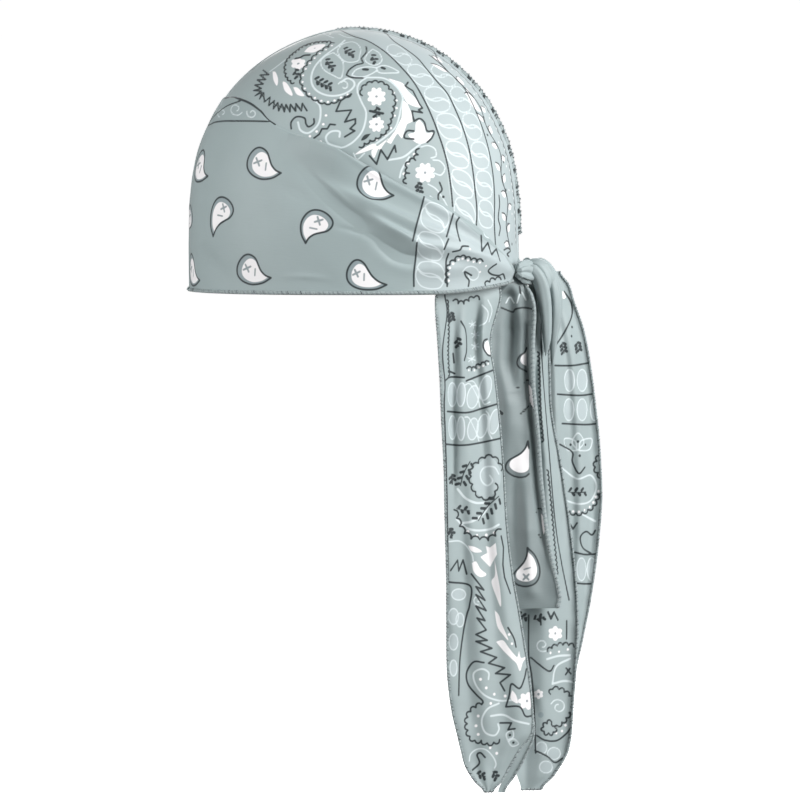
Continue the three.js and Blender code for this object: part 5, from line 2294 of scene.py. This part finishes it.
OUTER_PRINT = together(
    dark((564.3, 291.5), (571.2, 303), (571.8, 315.6), (566.6, 328.2), (559.7, 339.7), (552.8, 348.9)),
    flower(561.5, 295, 5, 5),
    dots(((572, 327), (571.6, 336.2)), 1.7, Ink.DARK),
    sprig(563.2, 347.7, 11, 80),
    sprig(578, 346.6, 10, 80),
    dark((555, 365.5), (572.3, 365.5), (590, 362.7)),
    dark((557.4, 394.2), (579.2, 395.4), (595.3, 393.6)),
    dark((562, 423.5), (585, 424.6), (598.2, 423.5)),
    ring(569.5, 380.4, 5, 11),
    ring(582.1, 380.4, 5, 11),
    ring(568.9, 409.7, 5, 11),
    ring(582.1, 409.7, 5, 11),
    ring(594.5, 409.7, 4, 11),
    petals(578, 452, 19, -90, 3, 46),
    dark((559.7, 444.2), (572.3, 452.2), (572.3, 461.5), (578.7, 473.5), (585, 467.2)),
    dots(((579.8, 455.7),), 1.8, Ink.DARK),
    scallops((602.2, 477.6), (595.3, 467.2), (600, 455.7), pitch=6),
    fine((560.9, 467.2), (577, 478.7), (590.7, 475.3), (596.5, 486.7), (590.7, 500.5), (579.2, 504),
        (565.5, 500.5), width=1.1),
    sprig(577, 491.8, 18, 0, 3),
    scallops((601, 489), (597.6, 493.6), (593, 505.1), (585, 510.8), (575.8, 513.1), (564.3, 508.5),
        pitch=6.6, beads=1.6),
    fine((582.7, 514.3), (589, 518), (595.3, 521.2), width=1.3),
    dark((566, 529), (570, 524), (573, 529), (577, 523), smooth=False),
    dark((595.3, 530.4), (591.9, 535), (586.1, 531.5), (580.4, 537.2), (582.7, 547.6), (590.7, 553.3)),
    dark((572.3, 551.6), (585, 554.5), (597, 553.9)),
    ring(581.5, 569.2, 4.6, 11.5),
    ring(591.6, 569.2, 4.4, 11.5),
    dark((575.8, 583.2), (585, 583.8), (594.2, 583.7)),
)
CORNER_PRINT = together(fine((513, 742), (505, 760), (496, 786), width=0.9))


# Hanging pieces: edges by height, as in the solids

NEAR_ROWS = (
    EdgeRow(-147, 58, 90.5, 59.5, 28, 0),
    EdgeRow(-158, 56, 91.4, 60.5, 29.5, 1.2),
    EdgeRow(-182, 57.3, 85.8, 60, 34, 4),
    EdgeRow(-206, 58.6, 88.6, 58.5, 34.5, 3.8),
    EdgeRow(-230, 59.4, 91.2, 57, 34.5, 3.4),
    EdgeRow(-260, 60.7, 93.6, 55.5, 34, 3),
    EdgeRow(-290, 61.2, 95.2, 54, 33, 2.8),
    EdgeRow(-320, 61.9, 98.4, 52.5, 32, 3),
    EdgeRow(-350, 61.8, 103.4, 51, 31, 3.2),
    EdgeRow(-380, 62.1, 108.2, 49.5, 30.5, 3.2),
    EdgeRow(-404, 64.7, 110.8, 48, 31, 2.8),
    EdgeRow(-419, 68, 110.4, 46.3, 31.5, 2.2),
    EdgeRow(-428, 70, 103.6, 45.2, 33, 1.8),
    EdgeRow(-437.5, 72.4, 98.2, 44, 35, 1.4),
    EdgeRow(-446.5, 77.6, 93.4, 42, 37, 0.8),
    EdgeRow(-453, 83, 88, 40.5, 38.5, 0.3),
)
CAPE_ROWS = (
    EdgeRow(-143, 97.5, 103.2, 17, 9, 0.2, 16),
    EdgeRow(-151, 95.3, 104.7, 21, 11, 0.5, 24),
    EdgeRow(-157, 89.3, 108.4, 22.5, 12, 3.5, 32),
    EdgeRow(-165.3, 86.3, 110.4, 23, 13, 5.5, 38),
    EdgeRow(-183.3, 84.3, 109.8, 23, 14, 6.5, 44),
    EdgeRow(-207.3, 83.3, 109.9, 22.5, 14.5, 5.5, 47),
    EdgeRow(-237.3, 82.8, 112.6, 22, 14.5, 3.6, 49),
    EdgeRow(-273.3, 83.8, 115.2, 21.5, 14.5, 2.4, 50),
    EdgeRow(-309.3, 85.3, 119.6, 21, 14, 1.6, 50),
    EdgeRow(-337, 86.8, 125.8, 20.5, 13.5, 1.2, 48),
    EdgeRow(-344.7, 88.3, 124.8, 20.5, 14, 1, 44),
)
ROLL_ROWS = (
    EdgeRow(-152, 104.7, 111.5, 9, 3, 0.3),
    EdgeRow(-167, 106.5, 112.5, 7, 1, 0.4),
    EdgeRow(-183, 108, 117, 4.5, -3, 0.5),
    EdgeRow(-202.8, 106, 117.6, 4.5, -5, 1.5),
    EdgeRow(-226.8, 105.5, 118.4, 4, -7, 2),
    EdgeRow(-256.8, 105, 123.4, 4, -9, 2.4),
    EdgeRow(-292.8, 101.5, 128.6, 4, -11, 3),
    EdgeRow(-322.8, 96.5, 132.1, 5, -11, 3.6),
    EdgeRow(-346.8, 90.6, 133.8, 6, -10, 4),
    EdgeRow(-364.8, 88.9, 133.9, 6.5, -9, 4),
    EdgeRow(-400.8, 90.4, 131.7, 6.5, -7, 3.4),
    EdgeRow(-430.8, 95.8, 129, 6.5, -4, 2.4),
    EdgeRow(-445.8, 99.3, 121, 5.5, -1, 1.4),
    EdgeRow(-454.5, 101.5, 113.8, 4, 1, 0.4),
)
OUTER_ROWS = (
    EdgeRow(-144, 112.5, 122.2, -15, -22, 0.3, 4),
    EdgeRow(-152.4, 113, 127.2, -14.5, -26, 1.2, 5),
    EdgeRow(-162.6, 113.6, 130, -14, -29, 2, 6),
    EdgeRow(-179.4, 116.4, 135.4, -13.5, -33, 3, 7),
    EdgeRow(-197.4, 119.4, 138.8, -14, -36, 4, 8),
    EdgeRow(-221.4, 120.2, 141.9, -15, -38, 4.4, 8),
    EdgeRow(-251.4, 120.8, 144.9, -17, -39, 4.4, 8),
    EdgeRow(-281.4, 121.6, 146, -19, -39, 4.2, 8),
    EdgeRow(-311.4, 122.8, 143.8, -20.5, -38, 3.6, 7),
    EdgeRow(-341.4, 123.9, 139.8, -20, -35, 2.6, 5),
    EdgeRow(-365.4, 125.6, 135.4, -18.5, -31, 1.6, 3),
    EdgeRow(-390.6, 127.2, 131.3, -17, -24, 0.5, 2),
)
CORNER_ROWS = (
    EdgeRow(-392, 99, 106, 5.6, 4.6, 0),
    EdgeRow(-406, 101.5, 108.5, 11.5, 10, 0),
    EdgeRow(-420.5, 104.1, 110.3, 17, 15, 0),
    EdgeRow(-432.5, 99.4, 105.8, 18, 16, 0.3),
    EdgeRow(-444.5, 94, 99.3, 19, 17, 0.3),
    EdgeRow(-455.3, 89.3, 92.8, 20, 18.5, 0),
)
STRAP_PLACES = ((22.0, 100.2, -142.8), (17.0, 103.2, -142.2), (9.0, 107.0, -144.4), (0.0, 109.0, -147.6))
STRANDS = (
    Strand(STRAP_PLACES, (4.4, 6.6, 6.0, 5.0), (3.0, 4.6, 5.0, 4.0)),
    Strand(tuple(((-x, y, z) for x, y, z in STRAP_PLACES)), (4.4, 6.6, 6.0, 5.0), (3.0, 4.6, 5.0, 4.0)),
    Strand(((1, 106, -138.5), (2, 113, -139.5), (0, 118, -148), (-2, 114.5, -158), (-1, 108, -160)),
        (9.0, 10.0, 10.0, 8.5, 7.0), (3.0, 4.0, 4.4, 4.0, 3.0), pleats=3, depth=0.12),
    Strand(((13, 105, -140), (11.5, 110.5, -143.5), (9.5, 114.5, -152), (7, 116.5, -166), (4, 117, -182),
        (0, 116, -194)), (3.4, 4.0, 3.8, 3.2, 2.4, 1.0), (3.4, 4.0, 3.8, 3.2, 2.4, 1.0), pleats=2,
        depth=0.14),
    Strand(((5, 107, -138), (4, 115, -140.5), (2, 120.5, -151), (0, 121.8, -166), (-4, 120, -184),
        (-10, 119, -200)), (3.8, 4.2, 4.2, 3.8, 2.6, 1.2), (3.8, 4.2, 4.2, 3.8, 2.6, 1.2), pleats=3,
        depth=0.13),
)


# The whole durag


@dataclass
class CentreSeam:
    """The ruffled, overlocked seam from the forehead over the top to the nape.

    Attributes:
        start: Degrees up the forehead at which it starts.
        end: Degrees up the nape at which it ends.
        stations: Places along it.
        width: Its width, in millimetres.
        low_rise: How far it stands up over the forehead.
        rise: How far it stands up down the back.
        stitched: Degrees at which its stitches come to the outside.
        profile: Its section: share of its width from the middle, and of its height.
    """

    start: float = 50.0
    end: float = 18.0
    stations: int = 760
    width: float = 3.0
    low_rise: float = 0.7
    rise: float = 2.0
    stitched: float = 86.0
    profile: tuple[Place, ...] = ((-0.5, 0.0), (-0.42, 0.75), (0.0, 1.0), (0.42, 0.75), (0.5, 0.0))

    def line(self) -> tuple[np.ndarray, np.ndarray, np.ndarray]:
        """The line that the seam takes over the crown.

        Returns:
            Its foot, the way out of the crown, and degrees from the forehead.
        """
        angle = np.linspace(self.start, 180 - self.end, self.stations)
        azimuth = np.where(angle > 90, 180.0, 0.0)
        elevation = np.where(angle > 90, 180 - angle, angle)
        foot = HEAD.point(azimuth, elevation, 0.3)
        return foot, HEAD.point(azimuth, elevation, 1.3) - foot, angle

    def build(self, material: bpy.types.Material) -> None:
        """Adds the turned-in seam and the stitches over it.

        Args:
            material: The thread's finish.
        """
        foot, out, angle = self.line()
        lengths = lengths_along(foot)
        full = smooth_step(75, 115, angle)
        rise = self.low_rise + (self.rise - self.low_rise) * full
        ruffle = full * (0.5 * np.sin(lengths * 0.7) + 0.3 * np.sin(lengths * 1.63 + 1))
        height = rise + 0.35 * ruffle
        crest = foot + out * height[:, None]
        crest[:, 0] += 0.6 * full * np.sin(lengths * 0.7 + 1.3)
        rows = []
        for x, share in self.profile:
            row = foot + out * (height * share)[:, None]
            row[:, 0] = x * self.width + share * (crest[:, 0] - foot[:, 0])
            rows.append(row)
        grid = np.stack(rows)
        # The dark print caught in the seam shows as uneven patches, from the top of the head on
        patches = np.sin(lengths * 0.52) + 0.8 * np.sin(lengths * 1.31 + 1) + 0.6 * np.sin(lengths * 2.9 + 2)
        tone = 0.12 + 0.85 * smooth_step(0.1, 0.9, patches) * smooth_step(84, 96, angle)
        add_piece(
            "centre_seam_fold",
            grid.reshape(-1, 3),
            grid_faces(*grid.shape[:2]),
            {"tone": np.tile(tone, len(rows))},
            material,
            "overlock_thread",
            "centre_seam",
        )
        sewn = angle > self.stitched
        crest, out = crest[sewn], out[sewn]
        sideways = np.broadcast_to(np.array([1.0, 0.0, 0.0]), crest.shape)
        Overlock(
            "centre_seam_stitches",
            crest,
            -out,
            sideways,
            pitch=2.6,
            bite=1.4,
            roll=0.35,
            thread=0.26,
            dark_share=0.6,
            seed=5,
        ).build(material)


@dataclass
class Durag:
    """The durag: its crown, band, seam, knot, cape and tails.

    Attributes:
        printed: The satin of the crown and the tails.
        plain: The satin of the band, from the same print.
        cape_painted_shade: The satin of the cape, from the same print, with a darker ground and darker
            crescent ink: painted shade for the shadow that falls on the cape under the knot and the tails.
        thread: The overlock thread.
    """

    printed: Satin
    plain: Satin
    cape_painted_shade: Satin
    thread: Thread

    def crown(self, side: int) -> CrownHalf:
        """One half of the crown.

        Args:
            side: 1 for the wearer's left, -1 for the right.

        Returns:
            The half.
        """
        return CrownHalf(
            "crown_left" if side > 0 else "crown_right",
            "printed_satin",
            flat=(0.2, 0.3),
            area=0.0385,
            held=Held.STRETCHED,
            rests_on=("head_seat",),
            side=side,
            columns=430 if side > 0 else 300,
            rows=200 if side > 0 else 150,
            dents=CROWN_DENTS,
            charts=((PICTURE, side < 0, CROWN_PRINT), (BACK, side < 0, BACK_PRINT)),
        )

    def band(self) -> ForeheadBand:
        """The forehead band.

        Returns:
            The band.
        """
        return ForeheadBand(
            "forehead_band",
            "plain_satin",
            flat=(0.56, 0.115),
            area=0.0431,
            held=Held.STRETCHED,
            rests_on=("crown_left", "crown_right"),
            folds=BAND_FOLDS,
            charts=((PICTURE, False, BAND_PRINT), (PICTURE, True, BAND_PRINT), (FRONT, False, FRONT_PRINT)),
        )

    def hanging(self) -> list[HangingSheet]:
        """The near tail, the cape and the pieces of the far tail.

        Returns:
            The pieces, in the order in which they are added.
        """
        return [
            HangingSheet(
                "tail_near",
                "printed_satin",
                flat=(0.055, 0.31),
                area=0.0138,
                held=Held.HUNG,
                rests_on=("forehead_band",),
                rows_table=NEAR_ROWS,
                columns=90,
                rows=500,
                waves=2.5,
                phase=0.05,
                drift=0.15,
                folds=TAIL_FOLDS,
                damp=0.55,
                hems=("front", "back", "bottom"),
                charts=((PICTURE, False, NEAR_PRINT),),
            ),
            HangingSheet(
                "cape",
                "plain_satin",
                flat=(0.1, 0.2),
                area=0.0183,
                held=Held.GATHERED,
                rests_on=("knot",),
                rows_table=CAPE_ROWS,
                columns=110,
                rows=260,
                waves=1.5,
                phase=0.62,
                drift=-0.1,
                hidden=0.5,
                folds=CAPE_FOLDS,
                damp=0.5,
                hems=("back",),
                hem_roll=1.3,
                charts=(
                    (PICTURE, False, CAPE_PRINT),
                    (FRONT, False, CAPE_FRONT_PRINT),
                    (PICTURE, True, CAPE_FAR_PRINT),
                ),
            ),
            HangingSheet(
                "tail_far_roll",
                "printed_satin",
                flat=(0.042, 0.275),
                area=0.0105,
                held=Held.HUNG,
                rests_on=("knot",),
                rows_table=ROLL_ROWS,
                columns=64,
                rows=400,
                waves=1.5,
                phase=0.3,
                drift=0.1,
                charts=((PICTURE, False, ROLL_PRINT),),
            ),
            HangingSheet(
                "tail_far_outer",
                "printed_satin",
                flat=(0.05, 0.25),
                area=0.0117,
                held=Held.HUNG,
                rests_on=("knot",),
                rows_table=OUTER_ROWS,
                columns=72,
                rows=360,
                waves=2.0,
                phase=0.1,
                drift=0.1,
                hidden=0.3,
                bow=9.0,
                damp=0.4,
                charts=((PICTURE, False, OUTER_PRINT),),
            ),
            HangingSheet(
                "tail_far_corner",
                "printed_satin",
                flat=(0.01, 0.066),
                area=0.00043,
                held=Held.HUNG,
                rests_on=("tail_far_roll",),
                rows_table=CORNER_ROWS,
                columns=14,
                rows=70,
                waves=1.0,
                hems=("back",),
                charts=((PICTURE, False, CORNER_PRINT),),
            ),
        ]

    def build(self) -> None:
        """Adds every piece."""
        satin = {"printed_satin": self.printed.build(), "plain_satin": self.plain.build()}
        cape_painted_shade = self.cape_painted_shade.build()
        thread = self.thread.build()
        CentreSeam().build(thread)
        Knot(STRANDS).build(satin["printed_satin"])
        for side in (1, -1):
            half = self.crown(side)
            half.declare(half.build(satin[half.slot]), [])
        band = self.band()
        made = band.build(satin[band.slot])
        grid, normals = unpack(made, band.rows + 1, band.near_columns + band.far_columns + 1)
        edge, inward, normal = edge_of(grid, normals, "first")
        outward = np.sign(np.sum(normal * (edge * (1, 1, 0)), axis=1, keepdims=True))
        hem = Overlock(
            "band_hem_thread",
            edge + np.array([0.0, 0.0, -0.9]),
            inward,
            normal * outward,
            nodes=("band_hem",),
            roll=1.15,
            bite=1.3,
            dark_share=0.22,
            seed=7,
        ).build(thread)
        band.declare(made, [hem])
        for sheet in self.hanging():
            # The cape gets the darker satin, whose colour is painted shade for the shadow under the knot and
            # the tails
            made = sheet.build(cape_painted_shade if sheet.name == "cape" else satin[sheet.slot])
            grid, normals = unpack(made, sheet.rows + 1, sheet.columns + 1)
            stitched = []
            for n, side in enumerate(sheet.hems):
                name = f"{sheet.name}_{side}_hem"
                edge, inward, normal = edge_of(grid, normals, side)
                trim = Overlock(name, edge, inward, normal, roll=sheet.hem_roll, dark_share=0.45, seed=11 + n)
                stitched.append(trim.build(thread))
            sheet.declare(made, stitched)


# The studio


@dataclass
class Studio:
    """A plain white studio, with soft lights at both sides and little light from the camera's side.

    Attributes:
        floor: Height of the floor, in metres.
        daylight: Strength of the even light from all round.
        right: Power of the soft light behind the head's right in the picture, in watts.
        left: Power of the soft light on the forehead.
        far: Power of the soft light on the wearer's right, which the picture doesn't show.
        top: Power of the soft light above.
        middle: The place that the lights look at, in metres.
        floor_side: Half the side of the floor, in millimetres.
        backdrop: Radius of the backdrop, in millimetres.
    """

    floor: float = -0.5
    daylight: float = 0.18
    right: float = 36.0
    left: float = 20.5
    far: float = 9.0
    top: float = 2.5
    middle: tuple[float, float, float] = (0.0, 0.03, -0.16)
    floor_side: float = 30000.0
    backdrop: float = 20000.0

    def softbox(
        self, name: str, azimuth: float, elevation: float, away: float, size: float, power: float
    ) -> None:
        """Adds a square soft light that looks at the object.

        Args:
            name: Its name.
            azimuth: Degrees round the object from the forehead.
            elevation: Degrees above the horizon.
            away: Metres from the object.
            size: Metres along its side.
            power: Watts.
        """
        data = bpy.data.lights.new(name, "AREA")
        data.shape, data.size, data.energy = "SQUARE", size, power
        light = bpy.data.objects.new(name, data)
        towards = PictureView(azimuth=azimuth, elevation=elevation).axes()[2]
        light.location = Vector(self.middle) + Vector(towards) * away
        light.rotation_euler = Vector(towards).to_track_quat("Z", "Y").to_euler()
        bpy.context.scene.collection.objects.link(light)

    def paper(self, name: str, points: np.ndarray, faces: np.ndarray, material: bpy.types.Material) -> None:
        """Adds white paper that the camera sees and that throws no light back on the object.

        Args:
            name: Its name.
            points: Its corners, in millimetres.
            faces: Numbers of the points round each face.
            material: Its finish.
        """
        made = polygon_mesh(name, points, faces)
        made.data.materials.append(material)
        made.visible_diffuse = made.visible_glossy = made.visible_shadow = False
        made.visible_transmission = False

    def build(self) -> None:
        """Adds the floor, the backdrop, the lights and the even light, and how the picture is developed."""
        white_paper = Paper().build()
        corners = np.array([[-1, -1, 0], [1, -1, 0], [1, 1, 0], [-1, 1, 0]]) * self.floor_side
        corners[:, 2] = self.floor / MM
        self.paper("floor", corners, np.array([[0, 1, 2, 3]]), white_paper)
        turn, rise = np.meshgrid(np.linspace(0, 2 * math.pi, 25), np.linspace(-1.5, 1.5, 13))
        dome = np.stack([np.cos(rise) * np.cos(turn), np.cos(rise) * np.sin(turn), np.sin(rise)], axis=-1)
        self.paper("backdrop", dome.reshape(-1, 3) * self.backdrop, grid_faces(13, 25), white_paper)
        self.softbox("right", 157.0, 20.0, 1.5, 1.1, self.right)
        self.softbox("left", 38.0, 10.0, 1.6, 1.0, self.left)
        self.softbox("far", 268.0, 20.0, 1.6, 1.0, self.far)
        self.softbox("top", 80.0, 76.0, 1.5, 1.0, self.top)
        world = bpy.data.worlds.new("studio")
        world.use_nodes = True
        background = world.node_tree.nodes["Background"]
        background.inputs["Color"].default_value = (1.0, 1.0, 1.0, 1.0)
        background.inputs["Strength"].default_value = self.daylight
        bpy.context.scene.world = world
        bpy.context.scene.view_settings.view_transform = "Standard"


def main() -> None:
    """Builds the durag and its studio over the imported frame."""
    logging.basicConfig(level=logging.INFO, format="%(message)s")
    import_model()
    Durag(
        printed=Satin("printed polyester satin"),
        plain=Satin("printed polyester satin, pressed", ground="#94A2A3"),
        # The cape's satin is the same print with a darker ground and crescent ink: painted shade for the
        # shadow under the knot and the tails
        cape_painted_shade=Satin("printed polyester satin, gathered", ground="#7D898A", shade="#6F7A7C", roughness=0.55),
        thread=Thread(),
    ).build()
    Studio().build()
    PICTURE.add_camera()


if __name__ == "__main__":
    main()
